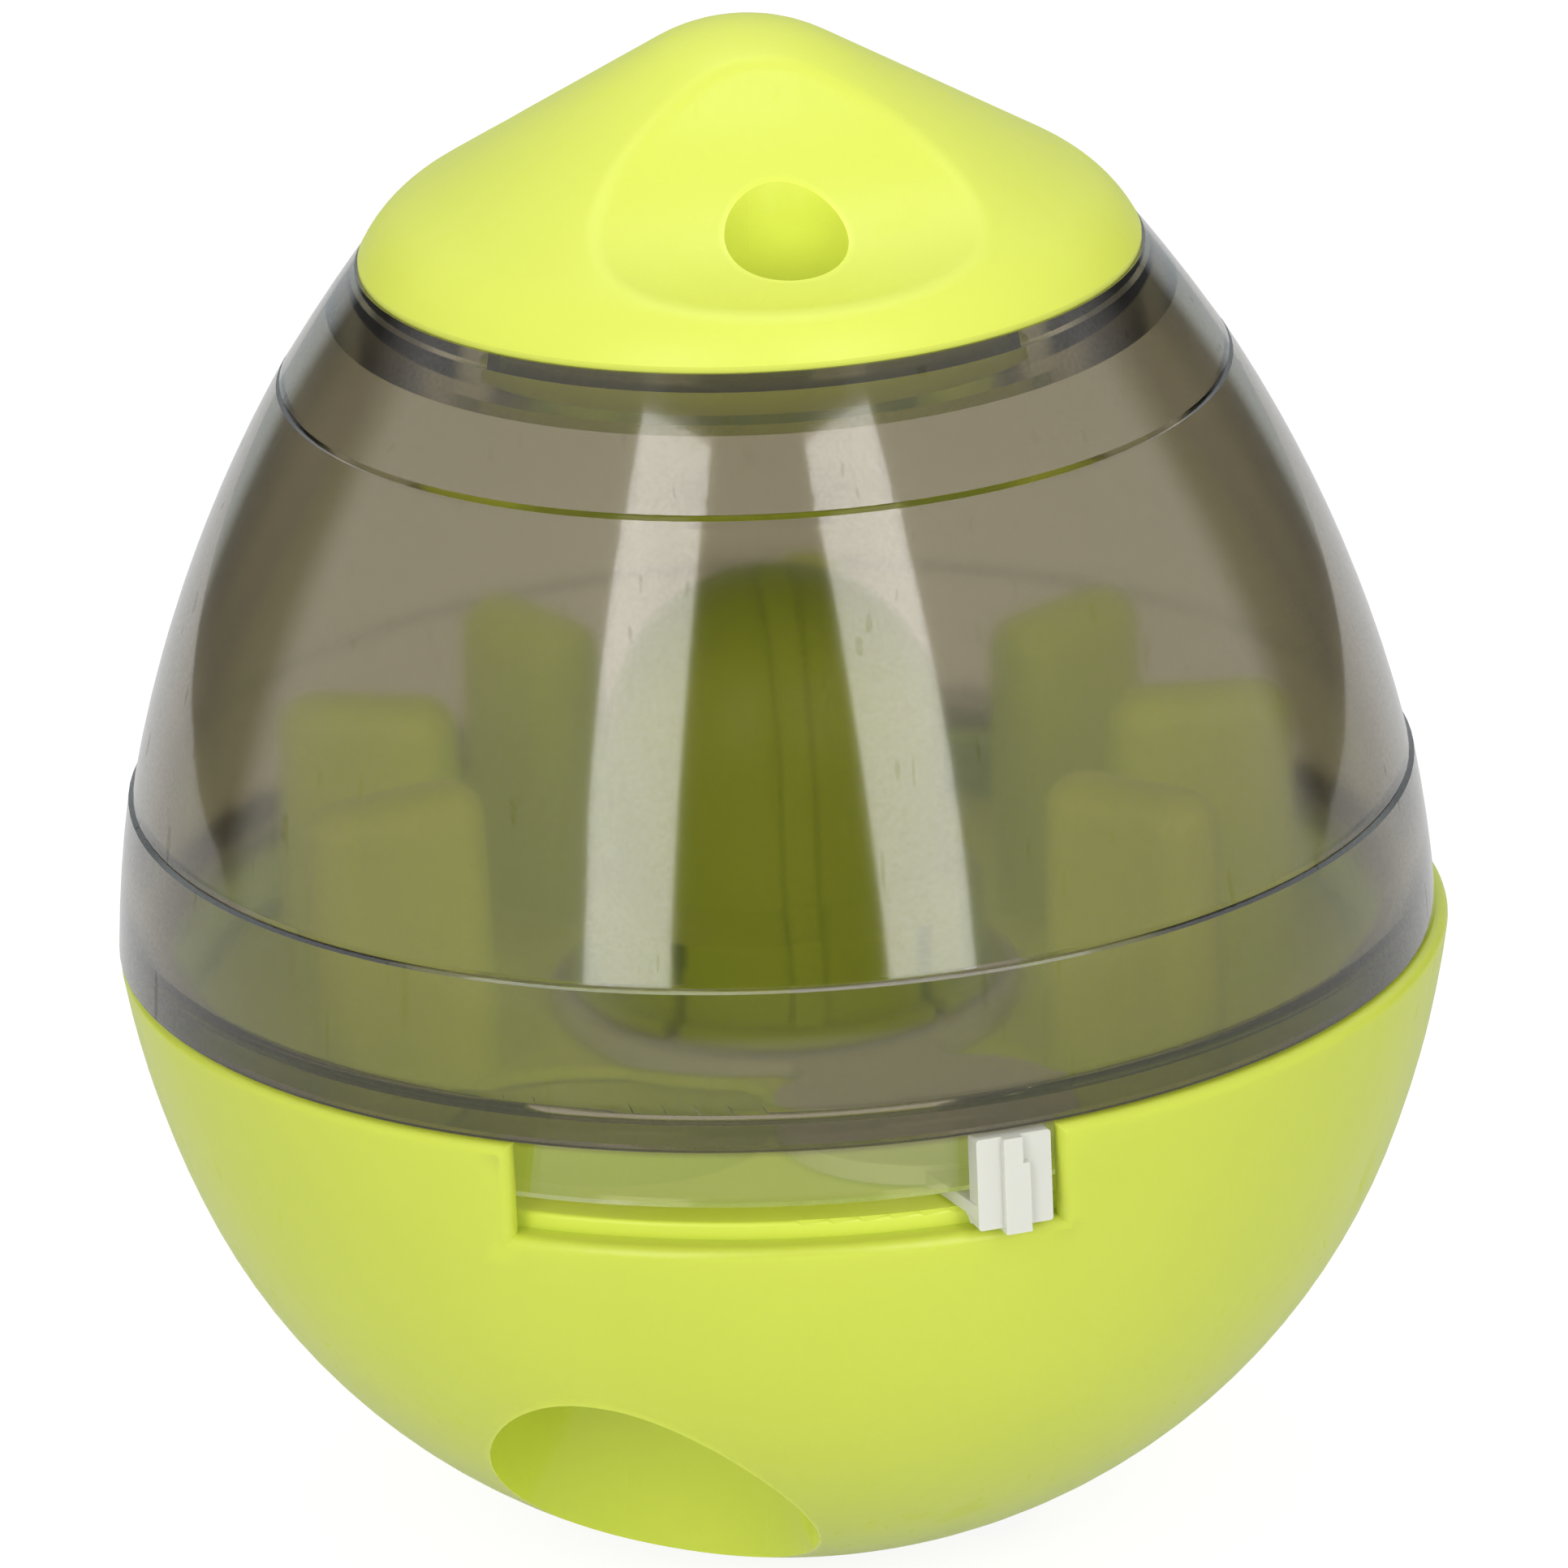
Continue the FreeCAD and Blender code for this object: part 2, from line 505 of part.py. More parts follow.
def maze_tray():
    """Tray with its outlet, ring of posts, hub for the pillar and screw bosses."""
    under = FLOOR_Z - TRAY_FLOOR
    edge_z = FLOOR_Z - TRAY_EDGE
    tray = cylinder(TRAY_RADIUS, edge_z, FLOOR_Z)
    tray = tray.makeFillet(TRAY_EASE, [edge for edge in tray.Edges if is_rim(edge, FLOOR_Z)])
    tray = tray.cut(cylinder(TRAY_RADIUS - TRAY_EDGE_WIDTH, edge_z - 1, under))
    hub_radius = PILLAR_FOOT_RADIUS - PILLAR_WALL - FIT
    hub = ring(hub_radius - HUB_WALL, hub_radius, under, FLOOR_Z + HUB_HEIGHT)
    parts = [tray, hub]
    for azimuth in COLUMN_AZIMUTHS:
        parts.append(cylinder(TRAY_BOSS_RADIUS, COLUMN_Z, FLOOR_Z - TRAY_FLOOR / 2, polar(COLUMN_RING, azimuth)))
    posts = []
    hollows = []
    for count in range(POST_COUNT):
        turn = POST_AZIMUTH + POST_PITCH * (count - (POST_COUNT - 1) / 2)
        outside = post(0, FLOOR_Z - TRAY_FLOOR / 2, FLOOR_Z + POST_HEIGHT)
        top = [edge for edge in outside.Edges if is_rim(edge, FLOOR_Z + POST_HEIGHT)]
        outside = outside.makeFillet(min(POST_ROUND, 0.9 * (POST_WIDTH / 2 - POST_DRAFT)), top)
        inside = post(POST_WALL, under - 1, FLOOR_Z + POST_HEIGHT - POST_WALL)
        for piece, kept in ((outside, posts), (inside, hollows)):
            piece.translate(Vector(0, -POST_RING, 0))
            piece.rotate(Vector(), Vector(0, 0, 1), turn)
            kept.append(piece)
    tray = tray.fuse(parts[1:] + posts).removeSplitter()
    for piece in hollows:
        tray = tray.cut(piece)
    keep_out = cylinder(RING_BORE_RADIUS + RING_WIDTH + SEAT_GAP, under - 1, FLOOR_Z + 1)
    outlet = Part.Face(outlet_wire(0, under - 1)).extrude(Vector(0, 0, TRAY_FLOOR + 2))
    tray = tray.cut(outlet.cut(keep_out))
    pilot = CASE_SCREW_LENGTH - COLUMN_WEB + FIT
    for azimuth in COLUMN_AZIMUTHS:
        tray = tray.cut(cylinder(SCREW_RADIUS + FIT, COLUMN_Z - 1, COLUMN_Z + pilot, polar(COLUMN_RING, azimuth)))
    groove_z = FLOOR_Z + HUB_HEIGHT - 2 * SNAP_HEIGHT
    groove = ring(hub_radius - SNAP_PROUD, hub_radius + 1, groove_z - SNAP_HEIGHT / 2, groove_z + SNAP_HEIGHT / 2)
    return tray.cut(groove)


def bell(radius, foot_radius, top_z, foot_z, shoulder_z, base_z):
    """Round-topped bar on a wider foot."""
    edges = chain([(0, base_z), (foot_radius, base_z), (foot_radius, foot_z), (radius, shoulder_z)])
    edges.append(segment((radius, shoulder_z), (radius, top_z - radius)))
    corner = radius * math.sqrt(0.5)
    edges.append(Part.Arc(
        Vector(radius, 0, top_z - radius), Vector(corner, 0, top_z - radius + corner), Vector(0, 0, top_z),
    ).toShape())
    edges.append(segment((0, top_z), (0, base_z)))
    return turned(edges)


def centre_pillar():
    """Bell-shaped pillar with its rib, the lip over the shutter's ring and four snap slots."""
    top = FLOOR_Z + PILLAR_TOP
    foot = FLOOR_Z + PILLAR_FOOT_HEIGHT
    shoulder = foot + PILLAR_SHOULDER
    outside = bell(PILLAR_RADIUS, PILLAR_FOOT_RADIUS, top, foot, shoulder, FLOOR_Z)
    proud = bell(
        PILLAR_RADIUS + PILLAR_RIB_PROUD, PILLAR_FOOT_RADIUS + PILLAR_RIB_PROUD,
        top + PILLAR_RIB_PROUD, foot + PILLAR_RIB_PROUD, shoulder + PILLAR_RIB_PROUD, FLOOR_Z,
    )
    lip_z = SHUTTER_Z + SHUTTER_THICKNESS + SLIDE_GAP
    rib = Part.makeBox(
        PILLAR_RIB_WIDTH, 2 * PILLAR_FOOT_RADIUS, PILLAR_TOP,
        Vector(-PILLAR_RIB_WIDTH / 2, -2 * PILLAR_FOOT_RADIUS, lip_z),
    )
    rib.rotate(Vector(), Vector(0, 0, 1), PILLAR_RIB_AZIMUTH)
    lip = ring(PILLAR_FOOT_RADIUS - FIT, PILLAR_FOOT_RADIUS + PILLAR_LIP, lip_z, lip_z + PILLAR_LIP_HEIGHT)
    pillar = joined([outside, proud.common(rib), lip])
    inside = bell(
        PILLAR_RADIUS - PILLAR_WALL, PILLAR_FOOT_RADIUS - PILLAR_WALL,
        top - PILLAR_WALL, foot - PILLAR_WALL, shoulder - PILLAR_WALL, FLOOR_Z,
    )
    pillar = pillar.cut(inside)
    hub_radius = PILLAR_FOOT_RADIUS - PILLAR_WALL - FIT
    bead_z = FLOOR_Z + HUB_HEIGHT - 2 * SNAP_HEIGHT
    half = (SNAP_HEIGHT - 2 * FIT) / 2
    bead = ring(hub_radius - SNAP_PROUD + FIT, PILLAR_FOOT_RADIUS - PILLAR_WALL / 2, bead_z - half, bead_z + half)
    pillar = joined([pillar, bead])
    for side in (-1, 1):
        for back in (0, 180):
            azimuth = back + PILLAR_RIB_AZIMUTH + side * PILLAR_SLOT_AZIMUTH
            cut = Part.makeBox(
                PILLAR_SLOT_WIDTH, 2 * PILLAR_LIP + PILLAR_FOOT_RADIUS, foot - FLOOR_Z,
                Vector(-PILLAR_SLOT_WIDTH / 2, -2 * PILLAR_LIP - 2 * PILLAR_FOOT_RADIUS + PILLAR_RADIUS, FLOOR_Z),
            )
            cut.rotate(Vector(), Vector(0, 0, 1), azimuth)
            pillar = pillar.cut(cut)
    return pillar


def portion_shutter():
    """Flat ring, paddle, arm and finger lever, moulded as one piece."""
    top = SHUTTER_Z + SHUTTER_THICKNESS
    ring_radius = RING_BORE_RADIUS + RING_WIDTH
    paddle = slot_bar(PADDLE_HALF_WIDTH, PADDLE_LENGTH, SHUTTER_Z, top)
    paddle.translate(Vector(0, PADDLE_LENGTH / 2 - PADDLE_REACH, 0))
    lever_face = RIM_RADIUS + LEVER_PROUD
    neck_width = PADDLE_HALF_WIDTH
    neck = Part.makeBox(
        neck_width, PADDLE_REACH - PADDLE_LENGTH / 2 - RING_BORE_RADIUS, SHUTTER_THICKNESS,
        Vector(-neck_width / 2, PADDLE_LENGTH / 2 - PADDLE_REACH, SHUTTER_Z),
    )
    half = LEVER_WIDTH / 2
    front = LEVER_RIB_PROUD - lever_face
    root = PADDLE_HALF_WIDTH - PADDLE_REACH
    outline = [(-half, front), (half, front), (half, root), (-half - ARM_FLARE, root), (-half, front)]
    corners = [Vector(x, y, SHUTTER_Z) for x, y in outline]
    arm = Part.Face(Part.makePolygon(corners)).extrude(Vector(0, 0, ARM_THICKNESS))
    low = LEDGE_Z + SLIDE_GAP + LEVER_RIB_LONGER
    high = RIM_Z + SHADOW_GAP - LEVER_TOP_GAP
    block = Part.makeBox(LEVER_WIDTH, -front - LEVER_BACK, high - low, Vector(-half, front, low))
    block = block.makeFillet(LEVER_EASE, [edge for edge in block.Edges if is_long(edge)])
    tray_edge = -TRAY_RADIUS - SEAT_GAP
    side = [
        Vector(-half, tray_edge, SHUTTER_Z), Vector(-half, -LEVER_BACK, low),
        Vector(-half, -LEVER_BACK, SHUTTER_Z), Vector(-half, tray_edge, SHUTTER_Z),
    ]
    gusset = Part.Face(Part.makePolygon(side)).extrude(Vector(LEVER_WIDTH, 0, 0))
    rib_low = low - LEVER_RIB_LONGER
    rib_step = high - LEVER_RIB_STEP
    rib_left = -LEVER_RIB_WIDTH / 2
    wide_rib = Part.makeBox(LEVER_RIB_WIDTH, LEVER_DEPTH, rib_step - rib_low, Vector(rib_left, -lever_face, rib_low))
    thin_rib = Part.makeBox(LEVER_RIB_NARROW, LEVER_DEPTH, high - rib_low, Vector(rib_left, -lever_face, rib_low))
    washer = ring(RING_BORE_RADIUS - SEAT_GAP, ring_radius, SHUTTER_Z, top)
    shutter = joined([washer, paddle, neck, arm, gusset, block, wide_rib, thin_rib])
    shutter = shutter.cut(cylinder(RING_BORE_RADIUS, SHUTTER_Z - 1, top + 1))
    shutter.rotate(Vector(), Vector(0, 0, 1), LEVER_AZIMUTH)
    return shutter


def dome():
    """Smoked dome: band, body and collar in one, with its slotted neck and keyed flange."""
    band_low = (BAND_RADIUS_LOW, RIM_Z + SHADOW_GAP)
    band_high = (BAND_RADIUS_HIGH, RIM_Z + BAND_HEIGHT - GROOVE / 2)
    body_low = (BODY_RADIUS_LOW, RIM_Z + BAND_HEIGHT + GROOVE / 2)
    body_high = (BODY_RADIUS_HIGH, RIM_Z + BODY_TOP - GROOVE / 2)
    collar_low = (COLLAR_RADIUS_LOW, RIM_Z + BODY_TOP + GROOVE / 2)
    collar_high = (COLLAR_RADIUS_HIGH, DOME_TOP_Z)
    web_z = RIM_Z + WEB_THICKNESS
    flange_z = DOME_TOP_Z - FLANGE_THICKNESS
    step_z = DOME_TOP_Z - COLLAR_STEP
    in_body_low, in_body_high, in_body_rise = inset(body_low, body_high, BODY_BULGE, DOME_WALL)
    in_band_low, in_band_high, _ = inset(band_low, band_high, BAND_BULGE, DOME_WALL)
    run = math.hypot(collar_low[0] - collar_high[0], collar_high[1] - collar_low[1])
    shift_r = DOME_WALL * (collar_high[1] - collar_low[1]) / run
    shift_z = DOME_WALL * (collar_low[0] - collar_high[0]) / run
    in_collar_low = (collar_low[0] - shift_r, collar_low[1] - shift_z)
    slope = (collar_high[0] - collar_low[0]) / (collar_high[1] - collar_low[1])
    in_collar_high = (in_collar_low[0] + slope * (step_z - in_collar_low[1]), step_z)
    outer_contact = BAND_RADIUS_LOW - 2 * SHADOW_GAP
    edges = [bulge(band_low, band_high, BAND_BULGE)]
    edges += chain([band_high, (BAND_RADIUS_HIGH - GROOVE, RIM_Z + BAND_HEIGHT), body_low])
    edges.append(bulge(body_low, body_high, BODY_BULGE))
    edges += chain([body_high, (COLLAR_RADIUS_LOW - GROOVE, RIM_Z + BODY_TOP), collar_low])
    edges.append(bulge(collar_low, collar_high, COLLAR_BULGE))
    edges += chain([
        collar_high, (PLUG_RADIUS + PLUG_FIT, DOME_TOP_Z), (PLUG_RADIUS + PLUG_FIT, flange_z),
        (COLLAR_BORE_RADIUS, flange_z), (COLLAR_BORE_RADIUS, step_z), in_collar_high, in_collar_low,
        in_body_high,
    ])
    edges.append(bulge(in_body_low, in_body_high, in_body_rise))
    share = (web_z + WEB_RISE - in_band_low[1]) / (in_band_high[1] - in_band_low[1])
    web_high = (in_band_low[0] + share * (in_band_high[0] - in_band_low[0]), web_z + WEB_RISE)
    web_run = web_high[0] - NECK_INNER
    web_sag = math.hypot(web_run, WEB_RISE) / 2 * math.tan(math.atan2(web_run, WEB_RISE) / 2)
    edges += chain([in_body_low, in_band_high, web_high])
    edges.append(bulge((NECK_INNER, web_z), web_high, web_sag))
    edges += chain([
        (NECK_INNER, web_z), (NECK_INNER, NECK_Z), (NECK_RADIUS, NECK_Z), (NECK_RADIUS, RIM_Z),
        (outer_contact, RIM_Z), (outer_contact, RIM_Z + SHADOW_GAP), band_low,
    ])
    shell = turned(edges)
    slot_z = TAB_Z + TAB_HEIGHT + TURN_GAP
    tab_room = TAB_SPAN + 2 * SLOT_EASE
    for count in range(TAB_COUNT):
        locked = TAB_AZIMUTH + count * 360 / TAB_COUNT
        middle = locked - DOME_TURN / 2
        run = wedge(NECK_INNER - 1, NECK_RADIUS + 1, TAB_Z - TURN_GAP, slot_z, middle, tab_room + DOME_TURN)
        entry = wedge(NECK_INNER - 1, NECK_RADIUS + 1, NECK_Z - 1, slot_z, locked - DOME_TURN, tab_room)
        shell = shell.cut(run.fuse(entry))
    key_reach = PLUG_RADIUS + KEY_PROUD + PLUG_FIT
    for count in range(KEY_COUNT):
        middle = CAP_TURN + count * 360 / KEY_COUNT
        gate = wedge(PLUG_RADIUS, key_reach, flange_z - 1, DOME_TOP_Z + 1, middle, KEY_SPAN + 2 * SLOT_EASE)
        shell = shell.cut(gate)
    shell = shell.removeSplitter()
    shell.translate(Vector(-DOME_SIT, 0, 0))
    return shell


def cap_profile(inward):
    """Closed profile of the cap's top, moved inward by a wall thickness."""
    slope = math.radians(CAP_SLOPE)
    edge_z = DOME_TOP_Z + CAP_EDGE
    apex_z = edge_z + CAP_RISE - inward / math.cos(slope)
    tip = CAP_TIP_RADIUS - inward
    shoulder = CAP_SHOULDER_RADIUS - inward
    below = (CAP_RISE - CAP_RADIUS * math.tan(slope)) * math.cos(slope)
    along = math.sqrt(2 * CAP_SHOULDER_RADIUS * below - below ** 2)
    foot_r = CAP_RADIUS + below * math.sin(slope)
    start_r = foot_r - along * math.cos(slope)
    start_z = edge_z + CAP_RISE - start_r * math.tan(slope)
    centre_r = start_r - CAP_SHOULDER_RADIUS * math.sin(slope)
    centre_z = start_z - CAP_SHOULDER_RADIUS * math.cos(slope)
    end_angle = math.atan2(edge_z - centre_z, CAP_RADIUS - centre_r)
    start_angle = math.pi / 2 - slope
    arc = []
    for share in (0.0, 0.5, 1.0):
        angle = start_angle + share * (end_angle - start_angle)
        arc.append(Vector(centre_r + shoulder * math.cos(angle), 0, centre_z + shoulder * math.sin(angle)))
    tip_centre = apex_z - tip / math.cos(slope)
    tip_end = (tip * math.sin(slope), tip_centre + tip * math.cos(slope))
    half = slope / 2
    tip_middle = Vector(tip * math.sin(half), 0, tip_centre + tip * math.cos(half))
    base_z = DOME_TOP_Z
    edge = (arc[2].x, arc[2].z)
    edges = [
        segment((0, base_z), (edge[0], base_z)),
        segment((edge[0], base_z), edge),
        Part.Arc(arc[0], arc[1], arc[2]).toShape(),
        segment((arc[0].x, arc[0].z), tip_end),
        Part.Arc(Vector(tip_end[0], 0, tip_end[1]), tip_middle, Vector(0, 0, tip_centre + tip)).toShape(),
        segment((0, tip_centre + tip), (0, base_z)),
    ]
    return edges


def dish_cutter(extra, azimuth):
    """Barrel that scoops a finger dish, larger by extra all round."""
    slope = math.radians(CAP_SLOPE)
    radius = DISH_RADIUS + extra
    height = DISH_RADIUS - DISH_DEPTH
    surface_z = DOME_TOP_Z + CAP_EDGE + CAP_RISE - DISH_RING * math.tan(slope)
    centre_r = DISH_RING + height * math.sin(slope)
    centre_z = surface_z + height * math.cos(slope)
    barrel = DISH_BARREL + extra
    half = DISH_RADIUS
    drop = barrel - math.sqrt(barrel ** 2 - half ** 2)
    ends = radius - drop
    profile = [
        Part.LineSegment(Vector(-half, 0, 0), Vector(half, 0, 0)).toShape(),
        Part.LineSegment(Vector(half, 0, 0), Vector(half, 0, ends)).toShape(),
        Part.Arc(Vector(half, 0, ends), Vector(0, 0, radius), Vector(-half, 0, ends)).toShape(),
        Part.LineSegment(Vector(-half, 0, ends), Vector(-half, 0, 0)).toShape(),
    ]
    cutter = Part.Face(Part.Wire(profile)).revolve(Vector(), Vector(1, 0, 0), 360)
    cutter.translate(Vector(0, -centre_r, centre_z))
    cutter.rotate(Vector(), Vector(0, 0, 1), azimuth)
    return cutter


def eased(body, cutter):
    """Body with the edges that the cutter left rounded over."""
    edges = []
    for edge in body.Edges:
        middle = edge.valueAt((edge.FirstParameter + edge.LastParameter) / 2)
        if Part.Vertex(middle).distToShape(cutter.Shells[0])[0] < 1e-4:
            edges.append(edge)
    return body.makeFillet(DISH_EASE, edges)


def top_cap():
    """Cap with two finger dishes, a tapered hole in each, and its keyed plug."""
    outside = turned(cap_profile(0))
    inside = turned(cap_profile(CAP_WALL))
    azimuths = [DISH_AZIMUTH + count * 360 / DISH_COUNT for count in range(DISH_COUNT)]
    for azimuth in azimuths:
        cutter = dish_cutter(0, azimuth)
        outside = eased(outside.cut(cutter), cutter)
        inside = inside.cut(dish_cutter(CAP_WALL, azimuth))
    inside = inside.common(cylinder(PLUG_RADIUS - PLUG_WALL, DOME_TOP_Z, DOME_TOP_Z + 2 * CAP_RISE))
    cap = outside.cut(inside)
    plug_z = DOME_TOP_Z - PLUG_HEIGHT
    parts = [ring(PLUG_RADIUS - PLUG_WALL, PLUG_RADIUS, plug_z, DOME_TOP_Z + CAP_EDGE)]
    for count in range(KEY_COUNT):
        parts.append(wedge(
            PLUG_RADIUS - PLUG_WALL, PLUG_RADIUS + KEY_PROUD, plug_z, DOME_TOP_Z - FLANGE_THICKNESS - KEY_FIT,
            count * 360 / KEY_COUNT, KEY_SPAN,
        ))
    for azimuth in azimuths:
        tube = cylinder(HOLE_RADIUS + HOLE_TUBE_WALL, DOME_TOP_Z, DOME_TOP_Z + CAP_RISE, polar(HOLE_RING, azimuth))
        parts.append(tube.common(outside))
    cap = cap.fuse(parts)
    for azimuth in azimuths:
        place = polar(HOLE_RING, azimuth, DOME_TOP_Z - 1)
        cap = cap.cut(Part.makeCone(HOLE_RADIUS - HOLE_TAPER, HOLE_RADIUS, CAP_RISE, place))
    cap = cap.removeSplitter()
    cap.translate(Vector(-DOME_SIT, 0, 0))
    return cap


MAKERS = {
    "base_bowl": base_bowl,
    "counterweight": counterweight,
    "weight_screws": weight_screws,
    "maze_tray": maze_tray,
    "case_screws": case_screws,
    "centre_pillar": centre_pillar,
    "portion_shutter": portion_shutter,
    "dome": dome,
    "top_cap": top_cap,
}


os.makedirs("parts", exist_ok=True)
for name, make in MAKERS.items():
    shape = make()
    shape.exportStep(os.path.join("parts", name + ".step"))
    box = shape.BoundBox
    print(
        f"{name}: {len(shape.Solids)} solids, {shape.Volume / 1000:.2f} cm3, valid {shape.isValid()}, "
        f"x {box.XMin:.2f}..{box.XMax:.2f} y {box.YMin:.2f}..{box.YMax:.2f} z {box.ZMin:.2f}..{box.ZMax:.2f}"
    )
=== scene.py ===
"""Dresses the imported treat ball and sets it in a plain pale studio.

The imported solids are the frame, and every shape of the ball is theirs: each sub-assembly class
only gives its nodes their finish. Everything is in metres, +Z up, the front of the ball towards
-Y, with azimuths in degrees from the front, positive to the right. Only the lengths in the
finishes are in millimetres.
"""

import json
import logging
import math
from collections.abc import Callable
from dataclasses import dataclass
from enum import Enum

import bpy
import numpy as np
from mathutils import Matrix, Vector

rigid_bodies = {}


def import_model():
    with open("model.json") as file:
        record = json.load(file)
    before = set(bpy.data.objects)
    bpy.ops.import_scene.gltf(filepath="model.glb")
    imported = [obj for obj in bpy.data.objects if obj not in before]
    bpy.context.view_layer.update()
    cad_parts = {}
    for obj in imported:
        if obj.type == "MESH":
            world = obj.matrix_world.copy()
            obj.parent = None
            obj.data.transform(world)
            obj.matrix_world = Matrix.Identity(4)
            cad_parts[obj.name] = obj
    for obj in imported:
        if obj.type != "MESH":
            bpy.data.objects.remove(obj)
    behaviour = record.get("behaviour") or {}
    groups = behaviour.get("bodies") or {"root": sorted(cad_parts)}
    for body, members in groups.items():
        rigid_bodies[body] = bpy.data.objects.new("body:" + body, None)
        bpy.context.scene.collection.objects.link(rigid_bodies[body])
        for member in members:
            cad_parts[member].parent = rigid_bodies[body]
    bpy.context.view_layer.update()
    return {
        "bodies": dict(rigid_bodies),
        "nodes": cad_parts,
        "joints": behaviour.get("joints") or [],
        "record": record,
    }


LOG = logging.getLogger("treat_ball")
MM = 0.001
BALL_CENTRE = Vector((0.0, 0.0, 0.057245))
PLASTIC_IOR = 1.49
SENSOR_WIDTH = 36.0  # millimetres, as Blender wants it

Colour = tuple[float, float, float]


def grey(value: float) -> Colour:
    """Returns an even grey of that linear value."""
    return (value, value, value)


class Nodes:
    """Short calls for building one node tree."""

    def __init__(self, tree: bpy.types.NodeTree) -> None:
        """Keeps the tree that the nodes go into.

        Args:
            tree: Node tree of a material, a world or a group.
        """
        self.tree = tree

    def add(self, kind: str, **settings: object) -> bpy.types.Node:
        """Adds a node and sets its properties.

        Args:
            kind: Node type without the ShaderNode prefix.
            settings: Property names and values.

        Returns:
            The new node.
        """
        node = self.tree.nodes.new("ShaderNode" + kind)
        for name, value in settings.items():
            setattr(node, name, value)
        return node

    def join(self, source: bpy.types.NodeSocket, target: bpy.types.NodeSocket) -> None:
        """Links an output to an input."""
        self.tree.links.new(source, target)

    def feed(self, target: bpy.types.NodeSocket, value: object) -> None:
        """Sets an input to a plain value, or links it when the value is a socket.

        Args:
            target: Input socket.
            value: Number, colour or output socket.
        """
        if isinstance(value, bpy.types.NodeSocket):
            self.join(value, target)
        elif isinstance(value, tuple) and len(value) == 3 and len(target.default_value) == 4:
            target.default_value = (*value, 1.0)
        else:
            target.default_value = value

    def math(self, operation: str, *values: object, clamp: bool = False) -> bpy.types.NodeSocket:
        """Adds a Math node.

        Args:
            operation: Blender's name of the operation.
            values: Numbers or sockets for its inputs.
            clamp: Keeps the result within 0 and 1.

        Returns:
            Its output.
        """
        node = self.add("Math", operation=operation, use_clamp=clamp)
        for target, value in zip(node.inputs, values):
            self.feed(target, value)
        return node.outputs[0]

    def length(self, *legs: object) -> bpy.types.NodeSocket:
        """Returns the square root of the sum of two squares.

        Args:
            legs: The two numbers or sockets.

        Returns:
            The socket with the length.
        """
        return self.math("SQRT", self.math("ADD", *(self.math("POWER", leg, 2.0) for leg in legs)))

    def span(
        self, value: object, low: float, high: float, start: float = 0.0, end: float = 1.0
    ) -> bpy.types.NodeSocket:
        """Maps low..high smoothly onto start..end and holds the ends.

        Args:
            value: Socket to map.
            low: Value that gives start.
            high: Value that gives end.
            start: Result at low.
            end: Result at high.

        Returns:
            The mapped socket.
        """
        node = self.add("MapRange", interpolation_type="SMOOTHSTEP")
        names = ("Value", "From Min", "From Max", "To Min", "To Max")
        for name, given in zip(names, (value, low, high, start, end)):
            self.feed(node.inputs[name], given)
        return node.outputs["Result"]

    def mix(self, share: object, first: object, second: object, blend: str = "MIX") -> bpy.types.NodeSocket:
        """Mixes two colours.

        Args:
            share: Share of the second, 0 to 1.
            first: Colour or socket.
            second: Colour or socket.
            blend: Blend type.

        Returns:
            The mixed colour.
        """
        node = self.add("Mix", data_type="RGBA", blend_type=blend)
        self.feed(node.inputs[0], share)
        self.feed(node.inputs[6], first)
        self.feed(node.inputs[7], second)
        return node.outputs[2]

    def noise(self, place: bpy.types.NodeSocket, scale: float, detail: float = 2.0) -> bpy.types.NodeSocket:
        """Adds a noise texture on a place.

        Args:
            place: Vector socket.
            scale: Waves per metre.
            detail: Octaves.

        Returns:
            Its value output.
        """
        node = self.add("TexNoise")
        self.join(place, node.inputs["Vector"])
        node.inputs["Scale"].default_value = scale
        node.inputs["Detail"].default_value = detail
        return node.outputs[0]

    def place(self) -> bpy.types.NodeSocket:
        """Returns the object coordinates."""
        return self.add("TexCoord").outputs["Object"]


